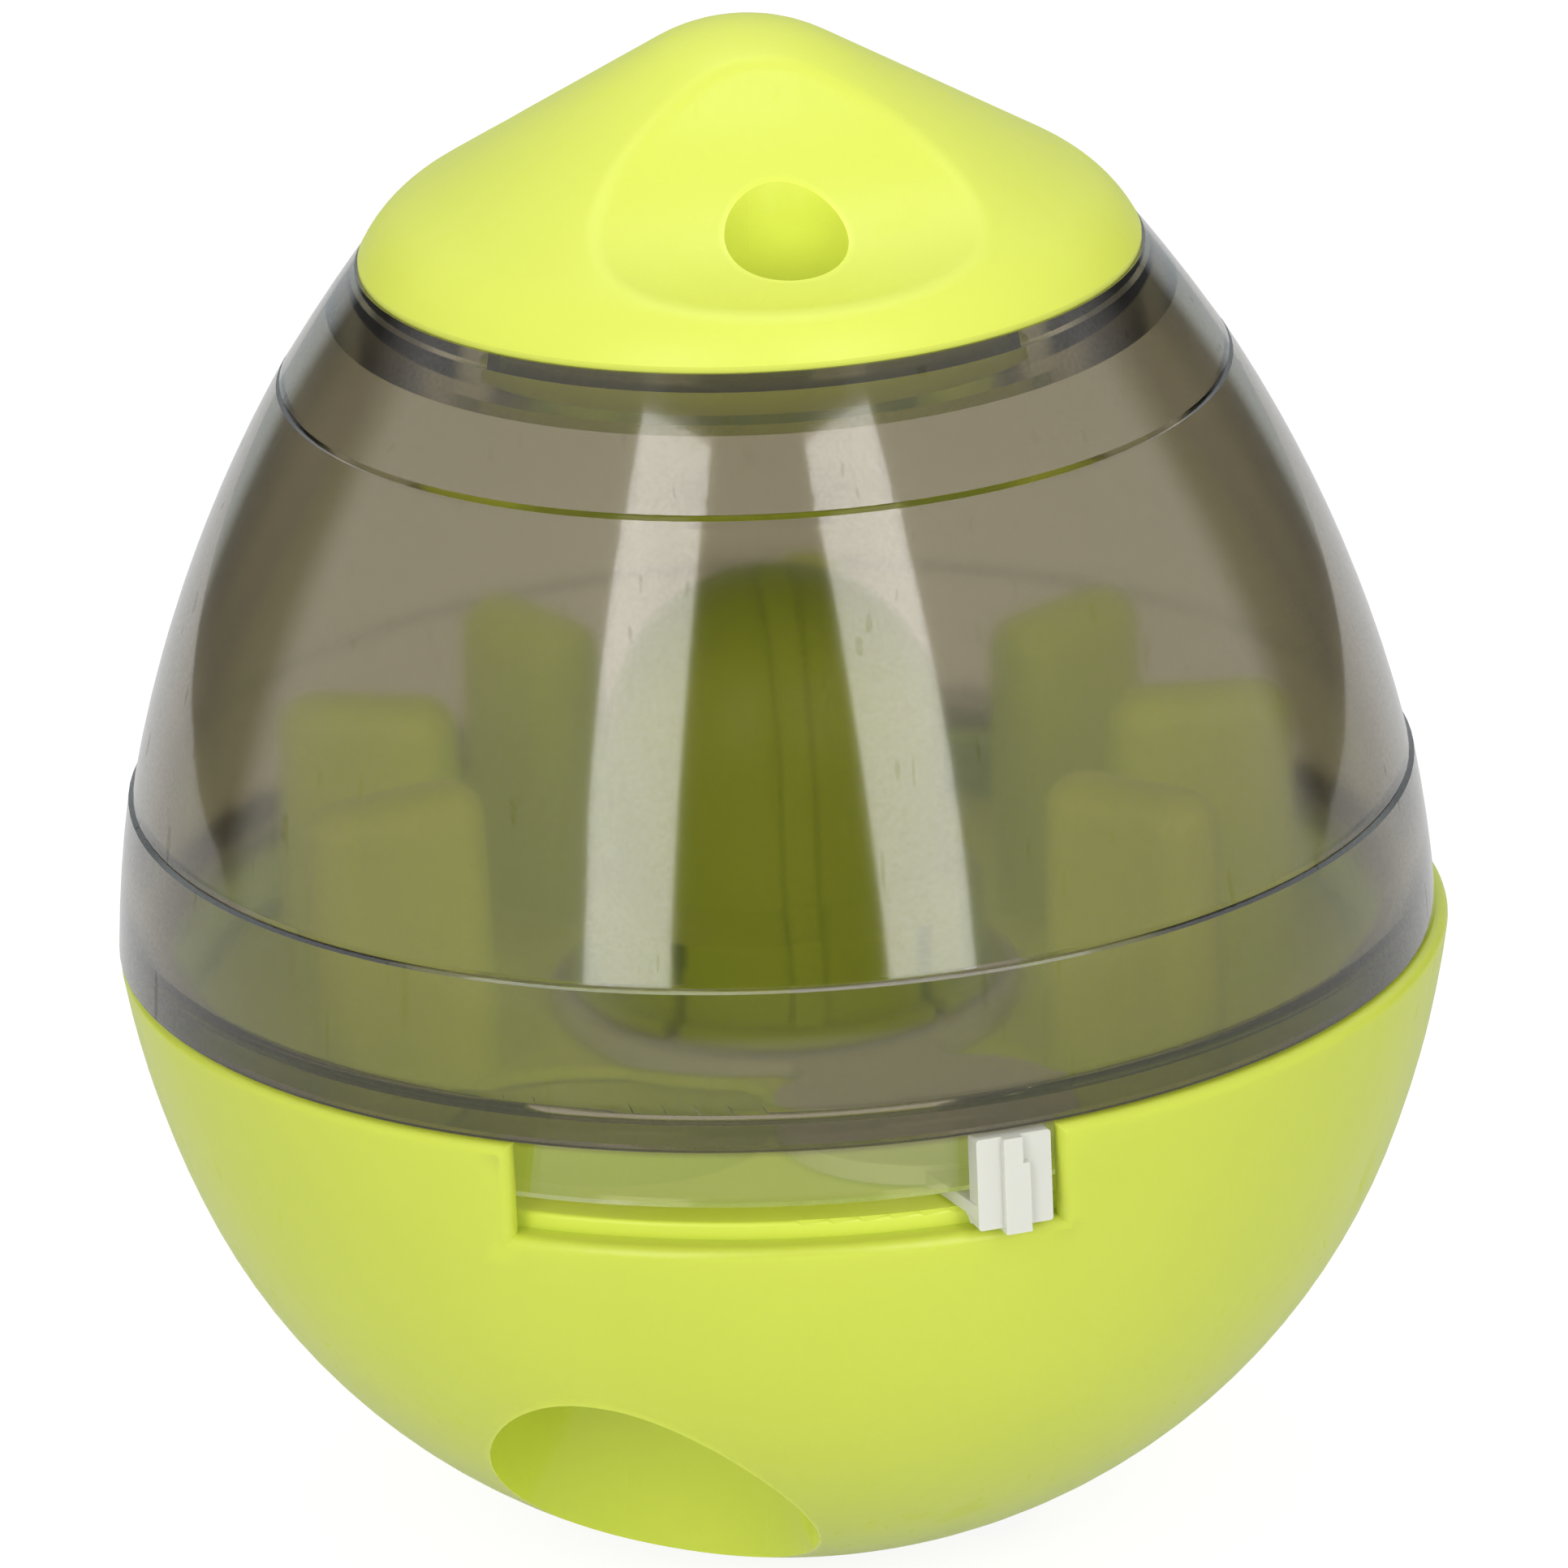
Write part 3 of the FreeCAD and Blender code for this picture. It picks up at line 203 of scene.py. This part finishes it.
class Groups:
    """Shader node groups shared by the finishes, each built once."""

    @staticmethod
    def start(
        name: str, inputs: dict[str, float], outputs: list[str]
    ) -> tuple[bpy.types.NodeTree, Nodes, bpy.types.Node, bpy.types.Node]:
        """Opens a new group.

        Args:
            name: Group name.
            inputs: Names of float inputs and their defaults.
            outputs: Names of float outputs.

        Returns:
            The tree, its builder, the input node and the output node.
        """
        tree = bpy.data.node_groups.new(name, "ShaderNodeTree")
        for label, value in inputs.items():
            socket = tree.interface.new_socket(label, in_out="INPUT", socket_type="NodeSocketFloat")
            socket.default_value = value
        for label in outputs:
            tree.interface.new_socket(label, in_out="OUTPUT", socket_type="NodeSocketFloat")
        return tree, Nodes(tree), tree.nodes.new("NodeGroupInput"), tree.nodes.new("NodeGroupOutput")

    @classmethod
    def moulded_skin(cls) -> bpy.types.NodeTree:
        """Builds the skin of moulded plastic: fine grain, slow waviness and rubbed patches.

        Height is grain times fine noise plus wave times slow noise. Shade is slow noise about 0.
        Rub rises where a stretched noise passes its threshold.

        Returns:
            The group.
        """
        found = bpy.data.node_groups.get("moulded_skin")
        if found:
            return found
        tree, nodes, given, out = cls.start(
            "moulded_skin", {"Grain": 0.4, "Wave": 0.6, "Grain Scale": 2600.0}, ["Height", "Shade", "Rub"]
        )
        place = nodes.place()
        fine = nodes.add("TexNoise")
        nodes.join(place, fine.inputs["Vector"])
        nodes.join(given.outputs["Grain Scale"], fine.inputs["Scale"])
        fine.inputs["Detail"].default_value = 3.0
        slow = nodes.noise(place, 42.0, 1.0)
        grain = nodes.math("MULTIPLY", fine.outputs[0], given.outputs["Grain"])
        wave = nodes.math("MULTIPLY", slow, given.outputs["Wave"])
        nodes.join(nodes.math("ADD", grain, wave), out.inputs["Height"])
        nodes.join(nodes.math("SUBTRACT", nodes.noise(place, 28.0, 2.0), 0.5), out.inputs["Shade"])
        stretch = nodes.add("Mapping")
        stretch.inputs["Scale"].default_value = (1.0, 1.0, 0.25)
        nodes.join(place, stretch.inputs["Vector"])
        rub = nodes.noise(stretch.outputs[0], 160.0, 4.0)
        nodes.join(nodes.span(rub, 0.55, 0.75), out.inputs["Rub"])
        return tree

    @classmethod
    def hairline_scratches(cls) -> bpy.types.NodeTree:
        """Builds sparse short scratches.

        A scratch is the peak of a noise drawn out fifty times along one way, in two ways.

        Returns:
            The group.
        """
        found = bpy.data.node_groups.get("hairline_scratches")
        if found:
            return found
        tree, nodes, given, out = cls.start("hairline_scratches", {"Scale": 1400.0, "Rarity": 0.80}, ["Mask"])
        place = nodes.place()
        total = None
        for turn, tip in ((0.5, 0.3), (2.2, -0.7)):
            mapping = nodes.add("Mapping")
            mapping.inputs["Rotation"].default_value = (tip, 0.6 * tip, turn)
            mapping.inputs["Scale"].default_value = (1.0, 0.5, 0.02)
            nodes.join(place, mapping.inputs["Vector"])
            lines = nodes.add("TexNoise")
            lines.inputs["Detail"].default_value = 0.0
            nodes.join(mapping.outputs[0], lines.inputs["Vector"])
            nodes.join(given.outputs["Scale"], lines.inputs["Scale"])
            line = nodes.math("GREATER_THAN", lines.outputs[0], given.outputs["Rarity"])
            total = line if total is None else nodes.math("MAXIMUM", total, line)
        nodes.join(total, out.inputs["Mask"])
        return tree

    @staticmethod
    def put(nodes: Nodes, tree: bpy.types.NodeTree, **values: float) -> bpy.types.Node:
        """Places a group in a material.

        Args:
            nodes: Builder of the material's tree.
            tree: Group to place.
            values: Input names, with _ for a space, and their values.

        Returns:
            The group node.
        """
        node = nodes.tree.nodes.new("ShaderNodeGroup")
        node.node_tree = tree
        for name, value in values.items():
            node.inputs[name.replace("_", " ")].default_value = value
        return node


@dataclass(frozen=True)
class Moulding:
    """Opaque moulded plastic. Lengths are in millimetres."""

    name: str
    colour: Colour
    deep: Colour
    roughness: float
    grain: float = 0.35
    wave: float = 0.5
    bump: float = 0.05
    bump_depth: float = 0.2
    rubbed: float = 0.12
    scratched: float = 0.15
    glow: float = 0.12
    bleed: Colour = (0.9, 1.0, 0.25)
    bleed_depth: float = 1.6
    # strength of a painted glow: emission of the plastic's colour in place of light through the wall
    shine: float = 0.0
    wells: tuple[tuple[float, float, float], ...] = ()
    well_smooth: float = 0.22
    well_edge: tuple[float, float] = (-0.5, 0.3)

    def material(self) -> bpy.types.Material:
        """Builds the plastic's material.

        A painted glow, an emission of the plastic's own colour, stands in for light that comes through
        the wall: all over by shine, or with wells (x, y and radius of upright holes) only inside those,
        which are also smoother.

        Returns:
            The material.
        """
        material, nodes, shader = blank(self.name)
        skin = Groups.put(nodes, Groups.moulded_skin(), Grain=self.grain, Wave=self.wave)
        shade = nodes.span(skin.outputs["Shade"], -0.25, 0.25)
        colour = nodes.mix(shade, self.deep, self.colour)
        nodes.join(colour, shader.inputs["Base Color"])
        scratch = Groups.put(nodes, Groups.hairline_scratches())
        rough = nodes.span(skin.outputs["Rub"], 0.0, 1.0, self.roughness, self.roughness + self.rubbed)
        marks = nodes.math("MULTIPLY", scratch.outputs["Mask"], self.scratched)
        worn = nodes.math("ADD", rough, marks, clamp=True)
        inside = self.within(nodes)
        smooth = nodes.math("MULTIPLY", inside, self.well_smooth if self.wells else 0.0)
        nodes.join(nodes.math("SUBTRACT", worn, smooth, clamp=True), shader.inputs["Roughness"])
        # painted glow: emission of the plastic's colour, scaled by shine, inside the wells
        lit = nodes.mix(nodes.math("MULTIPLY", inside, self.shine), grey(0.0), colour)
        nodes.join(lit, shader.inputs["Emission Color"])
        shader.inputs["Emission Strength"].default_value = 1.0
        bump = nodes.add("Bump")
        bump.inputs["Strength"].default_value = self.bump
        bump.inputs["Distance"].default_value = self.bump_depth * MM
        nodes.join(skin.outputs["Height"], bump.inputs["Height"])
        nodes.join(bump.outputs["Normal"], shader.inputs["Normal"])
        shader.inputs["IOR"].default_value = PLASTIC_IOR
        shader.inputs["Subsurface Weight"].default_value = self.glow
        shader.inputs["Subsurface Radius"].default_value = self.bleed
        shader.inputs["Subsurface Scale"].default_value = self.bleed_depth * MM
        return material

    def within(self, nodes: Nodes) -> object:
        """Marks the inside of the wells.

        Args:
            nodes: Builder of the material's tree.

        Returns:
            1 inside the wells and 0 outside them, or 1 everywhere where there are none.
        """
        if not self.wells:
            return 1.0
        place = nodes.add("SeparateXYZ")
        nodes.join(nodes.place(), place.inputs[0])
        total = 0.0
        for x, y, radius in self.wells:
            legs = (nodes.math("SUBTRACT", place.outputs[axis], at * MM) for axis, at in ((0, x), (1, y)))
            start, end = ((radius + edge) * MM for edge in self.well_edge)
            total = nodes.math("ADD", total, nodes.span(nodes.length(*legs), start, end, 1.0, 0.0))
        return total


@dataclass(frozen=True)
class SmokedPlastic:
    """Clear smoke-tinted plastic of the dome, tinted by its thickness. Lengths are in millimetres."""

    name: str = "smoked_clear_plastic"
    haze: float = 0.09
    rubbed: float = 0.03
    face_gloss: float = 0.25
    coat_roughness: float = 0.05
    coat_ior: float = 1.53
    density: float = 310.0
    kept: Colour = (0.42, 0.36, 0.17)
    face_tint: Colour = (0.70, 0.67, 0.60)
    shadow_tint: Colour = (0.92, 0.92, 0.89)
    neck_painted_glow: Colour = (0.09, 0.12, 0.02)
    neck_top: float = 54.3
    neck_fade: float = 0.6
    wave: float = 0.25
    wave_depth: float = 0.06

    def material(self) -> bpy.types.Material:
        """Builds the dome's material: a hazy body under a polished face that lamps shine through.

        Its faces tint what passes, and the plastic between them soaks up density times (1 - kept)
        of each colour for every metre. The neck, below neck_top, has a painted glow: an emission of
        neck_painted_glow in place of light from the lime bowl round it.

        Returns:
            The material.
        """
        material, nodes, shader = blank(self.name)
        shader.inputs["Base Color"].default_value = (*self.face_tint, 1.0)
        shader.inputs["Specular IOR Level"].default_value = self.face_gloss
        skin = Groups.put(nodes, Groups.moulded_skin(), Grain=0.0, Wave=1.0)
        scratch = Groups.put(nodes, Groups.hairline_scratches(), Scale=1100.0, Rarity=0.82)
        rough = nodes.span(skin.outputs["Rub"], 0.0, 1.0, self.haze, self.haze + self.rubbed)
        nodes.join(rough, shader.inputs["Roughness"])
        sparkle = nodes.span(nodes.noise(nodes.place(), 3200.0, 2.0), 0.35, 0.65, 0.7, 1.0)
        marks = nodes.math("MULTIPLY", scratch.outputs["Mask"], 0.5)
        nodes.join(nodes.math("SUBTRACT", sparkle, marks, clamp=True), shader.inputs["Coat Weight"])
        shader.inputs["Coat Roughness"].default_value = self.coat_roughness
        shader.inputs["Coat IOR"].default_value = self.coat_ior
        flow = nodes.add("Mapping")
        flow.inputs["Scale"].default_value = (1.0, 1.0, 0.06)
        nodes.join(nodes.place(), flow.inputs["Vector"])
        bump = nodes.add("Bump")
        bump.inputs["Strength"].default_value = self.wave
        bump.inputs["Distance"].default_value = self.wave_depth * MM
        nodes.join(nodes.noise(flow.outputs[0], 70.0, 1.0), bump.inputs["Height"])
        nodes.join(bump.outputs["Normal"], shader.inputs["Normal"])
        # painted glow on the neck: lime emission below neck_top in place of light from the bowl
        place = nodes.add("SeparateXYZ")
        nodes.join(nodes.place(), place.inputs[0])
        start = (self.neck_top - self.neck_fade) * MM
        neck = nodes.span(place.outputs[2], start, self.neck_top * MM, 1.0, 0.0)
        nodes.join(nodes.mix(neck, grey(0.0), self.neck_painted_glow), shader.inputs["Emission Color"])
        shader.inputs["Emission Strength"].default_value = 1.0
        shader.inputs["IOR"].default_value = PLASTIC_IOR
        shader.inputs["Transmission Weight"].default_value = 1.0
        through = nodes.add("BsdfTransparent")
        through.inputs["Color"].default_value = (*self.shadow_tint, 1.0)
        mixer = nodes.add("MixShader")
        nodes.join(nodes.add("LightPath").outputs["Is Shadow Ray"], mixer.inputs[0])
        nodes.join(shader.outputs[0], mixer.inputs[1])
        nodes.join(through.outputs[0], mixer.inputs[2])
        end = nodes.tree.nodes["Material Output"]
        nodes.join(mixer.outputs[0], end.inputs["Surface"])
        soak = nodes.tree.nodes.new("ShaderNodeVolumeAbsorption")
        soak.inputs["Color"].default_value = (*self.kept, 1.0)
        soak.inputs["Density"].default_value = self.density
        nodes.join(soak.outputs[0], end.inputs["Volume"])
        return material


@dataclass(frozen=True)
class BareMetal:
    """Cast or plated metal. Lengths are in millimetres."""

    name: str
    colour: Colour
    deep: Colour
    roughness: float
    bump: float
    bump_depth: float = 0.3
    rubbed: float = 0.2

    def material(self) -> bpy.types.Material:
        """Builds the metal's material from two tones and a grained skin."""
        material, nodes, shader = blank(self.name)
        skin = Groups.put(nodes, Groups.moulded_skin(), Grain=1.0, Wave=0.4, Grain_Scale=1500.0)
        shade = nodes.span(skin.outputs["Shade"], -0.2, 0.2)
        nodes.join(nodes.mix(shade, self.deep, self.colour), shader.inputs["Base Color"])
        rough = nodes.span(skin.outputs["Rub"], 0.0, 1.0, self.roughness, self.roughness + self.rubbed)
        nodes.join(rough, shader.inputs["Roughness"])
        bump = nodes.add("Bump")
        bump.inputs["Strength"].default_value = self.bump
        bump.inputs["Distance"].default_value = self.bump_depth * MM
        nodes.join(skin.outputs["Height"], bump.inputs["Height"])
        nodes.join(bump.outputs["Normal"], shader.inputs["Normal"])
        shader.inputs["Metallic"].default_value = 1.0
        return material


def blank(name: str) -> tuple[bpy.types.Material, Nodes, bpy.types.Node]:
    """Starts a node material.

    Args:
        name: Material name.

    Returns:
        The material, its builder and its Principled shader.
    """
    material = bpy.data.materials.new(name)
    material.use_nodes = True
    nodes = Nodes(material.node_tree)
    return material, nodes, material.node_tree.nodes["Principled BSDF"]


class Finish(Enum):
    """Named finishes of the ball's pieces."""

    # the bowl's shine is a painted glow: emission inside the exit chute's well in place of light through the
    # wall
    LIME_BOWL = Moulding(
        "lime_bowl_plastic",
        (0.63, 0.72, 0.076),
        (0.60, 0.69, 0.068),
        0.30,
        glow=0.19,
        shine=0.14,
        wells=((-13.2, -33.3, 14.2),),
    )
    # the cap's shine is a painted glow: emission inside the two holes in place of light through the wall
    LIME_CAP = Moulding(
        "lime_cap_plastic",
        (0.745, 0.83, 0.105),
        (0.71, 0.795, 0.095),
        0.38,
        grain=0.7,
        bump=0.08,
        glow=0.17,
        shine=0.10,
        wells=((2.6, -18.1, 5.7), (-3.8, 18.1, 5.7)),
    )
    # the tray's shine is a painted glow: emission all over the tray in place of light coming through the dome
    LIME_TRAY = Moulding("lime_tray_plastic", (0.66, 0.76, 0.08), (0.61, 0.70, 0.065), 0.38, shine=0.12)
    # painted shade: a darker copy of the lime plastic for the pillar in the dim inside of the dome
    LIME_PILLAR_SHADED = Moulding("lime_pillar_painted_shade", (0.54, 0.67, 0.06), (0.50, 0.62, 0.05), 0.36)
    WHITE = Moulding("white_lever_plastic", (0.71, 0.715, 0.65), (0.66, 0.665, 0.60), 0.34, glow=0.2)
    SMOKED = SmokedPlastic()
    IRON = BareMetal("cast_iron_weight", grey(0.10), grey(0.05), 0.55, 0.5)
    ZINC = BareMetal("zinc_screws", (0.60, 0.60, 0.61), (0.48, 0.48, 0.50), 0.28, 0.1)


@dataclass
class SubAssembly:
    """Nodes of the frame that share a finish."""

    frame: dict[str, object]

    def dress(self, node: str, material: bpy.types.Material, crease: float = 28.0) -> None:
        """Gives a node its material and smooth shading between creases.

        Args:
            node: Name of the node.
            material: Its finish.
            crease: Angle in degrees above which an edge stays sharp.
        """
        piece = self.frame["nodes"][node]
        piece.data.materials.clear()
        piece.data.materials.append(material)
        piece.data.polygons.foreach_set("use_smooth", np.ones(len(piece.data.polygons), bool))
        weld = piece.modifiers.new("weld", "WELD")
        weld.merge_threshold = 0.002 * MM
        split = piece.modifiers.new("crease", "EDGE_SPLIT")
        split.split_angle = math.radians(crease)
        LOG.info("%s: %s", node, material.name)


class Bowl(SubAssembly):
    """Round bowl with its counterweight and screws."""

    def build(self) -> None:
        """Dresses the bowl and what it holds."""
        self.dress("base_bowl", Finish.LIME_BOWL.value.material())
        self.dress("counterweight", Finish.IRON.value.material())
        zinc = Finish.ZINC.value.material()
        self.dress("weight_screws", zinc)
        self.dress("case_screws", zinc)


class Maze(SubAssembly):
    """Tray, pillar and shutter."""

    def build(self) -> None:
        """Dresses the parts that the treats fall through."""
        self.dress("maze_tray", Finish.LIME_TRAY.value.material())
        self.dress("centre_pillar", Finish.LIME_PILLAR_SHADED.value.material())
        self.dress("portion_shutter", Finish.WHITE.value.material())


class Top(SubAssembly):
    """Dome and cap."""

    def build(self) -> None:
        """Dresses the dome and the cap."""
        self.dress("dome", Finish.SMOKED.value.material(), crease=12.0)
        self.dress("top_cap", Finish.LIME_CAP.value.material())


@dataclass(frozen=True)
class PhotoCamera:
    """Camera of the photograph, from a fit to the ball's rings and outline."""

    elevation: float = 20.25
    roll: float = 2.36
    distance: float = 1.453
    lens: float = 380.7
    rise: float = 0.00984
    side: float = 0.00007

    def build(self) -> None:
        """Adds the camera, aimed a little above the bowl's centre and rolled about its view."""
        tilt = math.radians(self.elevation)
        roll = math.radians(self.roll)
        right = Vector((1.0, 0.0, 0.0))
        up = Vector((0.0, math.sin(tilt), math.cos(tilt)))
        place = BALL_CENTRE + self.distance * Vector((0.0, -math.cos(tilt), math.sin(tilt)))
        rolled_right = math.cos(roll) * right - math.sin(roll) * up
        rolled_up = math.sin(roll) * right + math.cos(roll) * up
        target = BALL_CENTRE + self.rise * rolled_up + self.side * rolled_right
        back = (place - target).normalized()
        side = rolled_up.cross(back).normalized()
        top = back.cross(side)
        data = bpy.data.cameras.new("photo_camera")
        data.lens = self.lens
        data.sensor_width = SENSOR_WIDTH
        data.clip_start = 0.05
        data.clip_end = 30.0
        camera = bpy.data.objects.new("photo_camera", data)
        turn = Matrix((side, top, back)).transposed().to_4x4()
        camera.matrix_world = Matrix.Translation(place) @ turn
        bpy.context.scene.collection.objects.link(camera)
        bpy.context.scene.camera = camera


@dataclass(frozen=True)
class SoftBox:
    """Soft rectangular lamp that faces the ball. Power is in watts."""

    name: str
    azimuth: float
    elevation: float
    distance: float
    width: float
    height: float
    power: float

    def build(self) -> None:
        """Adds the lamp, facing the ball."""
        data = bpy.data.lights.new(self.name, "AREA")
        data.shape = "RECTANGLE"
        data.size = self.width
        data.size_y = self.height
        data.energy = self.power
        lamp = bpy.data.objects.new(self.name, data)
        turn = math.radians(self.azimuth)
        tilt = math.radians(self.elevation)
        level = math.cos(tilt)
        way = Vector((math.sin(turn) * level, -math.cos(turn) * level, math.sin(tilt)))
        lamp.location = BALL_CENTRE + way * self.distance
        lamp.rotation_mode = "QUATERNION"
        lamp.rotation_quaternion = way.to_track_quat("Z", "Y")
        bpy.context.scene.collection.objects.link(lamp)


@dataclass
class Studio:
    """Pale floor, white surroundings and soft lamps. Levels are linear, with 1 as white."""

    ambient: float = 0.60
    mirrored_white: float = 0.50
    room_dark: float = 0.06
    room_light: float = 0.85
    gap_depth: float = 0.9
    sky_level: float = 0.6
    front_tint: Colour = (1.0, 0.98, 0.93)
    back_tint: Colour = (0.90, 0.97, 1.0)
    floor_radius: float = 0.75
    floor_glow: float = 0.89
    floor_mirrored: float = 0.5
    floor_seen: float = 0.22
    floor_bounce: tuple[float, float] = (0.84, 0.87)

    def build(self) -> None:
        """Builds the whole stage."""
        self.floor()
        self.world()
        for box in (
            SoftBox("soft_box_left", -26.0, 27.0, 1.2, 0.34, 1.05, 4.0),
            SoftBox("soft_box_right", 26.0, 27.0, 1.2, 0.34, 1.05, 4.0),
            SoftBox("soft_box_top", 180.0, 78.0, 1.3, 0.9, 0.7, 3.0),
        ):
            box.build()

    def floor(self) -> None:
        """Adds a round pale floor: a flat ring grid, z = 0 at every radius and angle."""
        rings = np.linspace(0.0, self.floor_radius, 13)
        angles = np.linspace(0.0, 2.0 * np.pi, 73)
        floor = surface("studio_floor", *np.meshgrid(rings, angles, indexing="ij"), self.level)
        material, nodes, shader = blank("pale_floor")
        speck = nodes.span(nodes.noise(nodes.place(), 3.0, 2.0), 0.3, 0.7)
        bounced = nodes.mix(speck, *(grey(level) for level in self.floor_bounce))
        nodes.join(nodes.mix(seen(nodes), bounced, grey(self.floor_seen)), shader.inputs["Base Color"])
        shader.inputs["Roughness"].default_value = 0.9
        shader.inputs["Specular IOR Level"].default_value = 0.0
        glow = nodes.add("Emission")
        strength = nodes.math("MULTIPLY", seen(nodes, self.floor_mirrored), self.floor_glow)
        nodes.join(strength, glow.inputs["Strength"])
        total = nodes.add("AddShader")
        nodes.join(shader.outputs[0], total.inputs[0])
        nodes.join(glow.outputs[0], total.inputs[1])
        nodes.join(total.outputs[0], nodes.tree.nodes["Material Output"].inputs["Surface"])
        floor.data.materials.append(material)

    @staticmethod
    def level(radius: np.ndarray, angle: np.ndarray) -> tuple[np.ndarray, np.ndarray, np.ndarray]:
        """Returns the floor's points, x = r cos a, y = r sin a, z = 0."""
        return radius * np.cos(angle), radius * np.sin(angle), np.zeros_like(radius)

    def world(self) -> None:
        """Sets a white backdrop for the camera and a studio for the rest.

        Gloss and glass see the studio: white towards +Y, behind the ball, a low dark gap at each
        side, a pale room in front of that, a dim place round the camera and a pale ceiling. The
        camera sees plain white, and light that bounces gets the ambient level.
        """
        world = bpy.data.worlds.new("studio")
        bpy.context.scene.world = world
        world.use_nodes = True
        nodes = Nodes(world.node_tree)
        way = nodes.add("SeparateXYZ")
        nodes.join(nodes.add("TexCoord").outputs["Generated"], way.inputs[0])
        height = way.outputs[2]
        across = nodes.length(way.outputs[0], way.outputs[1])
        behind = nodes.math("DIVIDE", way.outputs[1], nodes.math("MAXIMUM", across, 0.001))
        path = nodes.add("LightPath")
        backdrop = nodes.math("MAXIMUM", path.outputs["Is Transmission Ray"], self.mirrored_white)
        white = nodes.math("MULTIPLY", nodes.span(behind, 0.80, 0.90), backdrop)
        room = nodes.span(behind, -0.97, -0.80, self.room_dark, self.room_light)
        gap = nodes.math("MULTIPLY", nodes.span(behind, 0.25, 0.45), nodes.span(height, 0.25, 0.5, 1.0, 0.0))
        left = nodes.math("SUBTRACT", 1.0, nodes.math("MULTIPLY", gap, self.gap_depth))
        level = nodes.math("MAXIMUM", white, nodes.math("MULTIPLY", room, left))
        sky = nodes.math("MULTIPLY", nodes.span(height, 0.55, 0.75), self.sky_level)
        level = nodes.math("MAXIMUM", level, sky)
        studio = nodes.add("Background")
        tint = nodes.mix(nodes.span(behind, 0.7, 0.85), self.front_tint, self.back_tint)
        nodes.join(tint, studio.inputs["Color"])
        nodes.join(level, studio.inputs["Strength"])
        plain = world.node_tree.nodes["Background"]
        plain.inputs["Color"].default_value = (1.0, 1.0, 1.0, 1.0)
        strength = nodes.math("MAXIMUM", path.outputs["Is Camera Ray"], self.ambient)
        nodes.join(strength, plain.inputs["Strength"])
        mirrored = nodes.math("MAXIMUM", path.outputs["Is Glossy Ray"], path.outputs["Is Transmission Ray"])
        mixer = nodes.add("MixShader")
        nodes.join(mirrored, mixer.inputs[0])
        nodes.join(plain.outputs[0], mixer.inputs[1])
        nodes.join(studio.outputs[0], mixer.inputs[2])
        nodes.join(mixer.outputs[0], world.node_tree.nodes["World Output"].inputs["Surface"])


def seen(nodes: Nodes, mirrored: float = 1.0) -> bpy.types.NodeSocket:
    """Returns 1 for rays that see a surface straight or through glass, and 0 for light that bounces.

    Args:
        nodes: Builder of the material's tree.
        mirrored: Result for rays that see it in a gloss.

    Returns:
        The socket with the result.
    """
    path = nodes.add("LightPath")
    gloss = nodes.math("MULTIPLY", path.outputs["Is Glossy Ray"], mirrored)
    straight = nodes.math("MAXIMUM", path.outputs["Is Camera Ray"], path.outputs["Is Transmission Ray"])
    return nodes.math("MAXIMUM", straight, gloss)


def surface(
    name: str,
    first: np.ndarray,
    second: np.ndarray,
    shape: Callable[[np.ndarray, np.ndarray], tuple[np.ndarray, np.ndarray, np.ndarray]],
) -> bpy.types.Object:
    """Makes a mesh from a shape of two parameters on a grid.

    Args:
        name: Name of the object and mesh.
        first: First parameter at each grid point.
        second: Second parameter at each grid point.
        shape: Function from the two parameters to x, y and z.

    Returns:
        The object, its faces ordered so that first cross second points outwards.
    """
    points = np.stack([axis.ravel() for axis in shape(first, second)], axis=1)
    rows, columns = first.shape
    index = np.arange(rows * columns).reshape(rows, columns)
    faces = np.stack([index[:-1, :-1], index[1:, :-1], index[1:, 1:], index[:-1, 1:]], axis=-1).reshape(-1, 4)
    mesh = bpy.data.meshes.new(name)
    mesh.from_pydata(points.tolist(), [], faces.tolist())
    mesh.polygons.foreach_set("use_smooth", np.ones(len(faces), bool))
    mesh.update()
    piece = bpy.data.objects.new(name, mesh)
    bpy.context.scene.collection.objects.link(piece)
    return piece


def main() -> None:
    """Builds the dressed ball, the studio and the camera."""
    logging.basicConfig(level=logging.INFO, format="%(name)s: %(message)s")
    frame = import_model()
    for part in (Bowl(frame), Maze(frame), Top(frame)):
        part.build()
    Studio().build()
    PhotoCamera().build()
    scene = bpy.context.scene
    scene.view_settings.view_transform = "Standard"


if __name__ == "__main__":
    main()
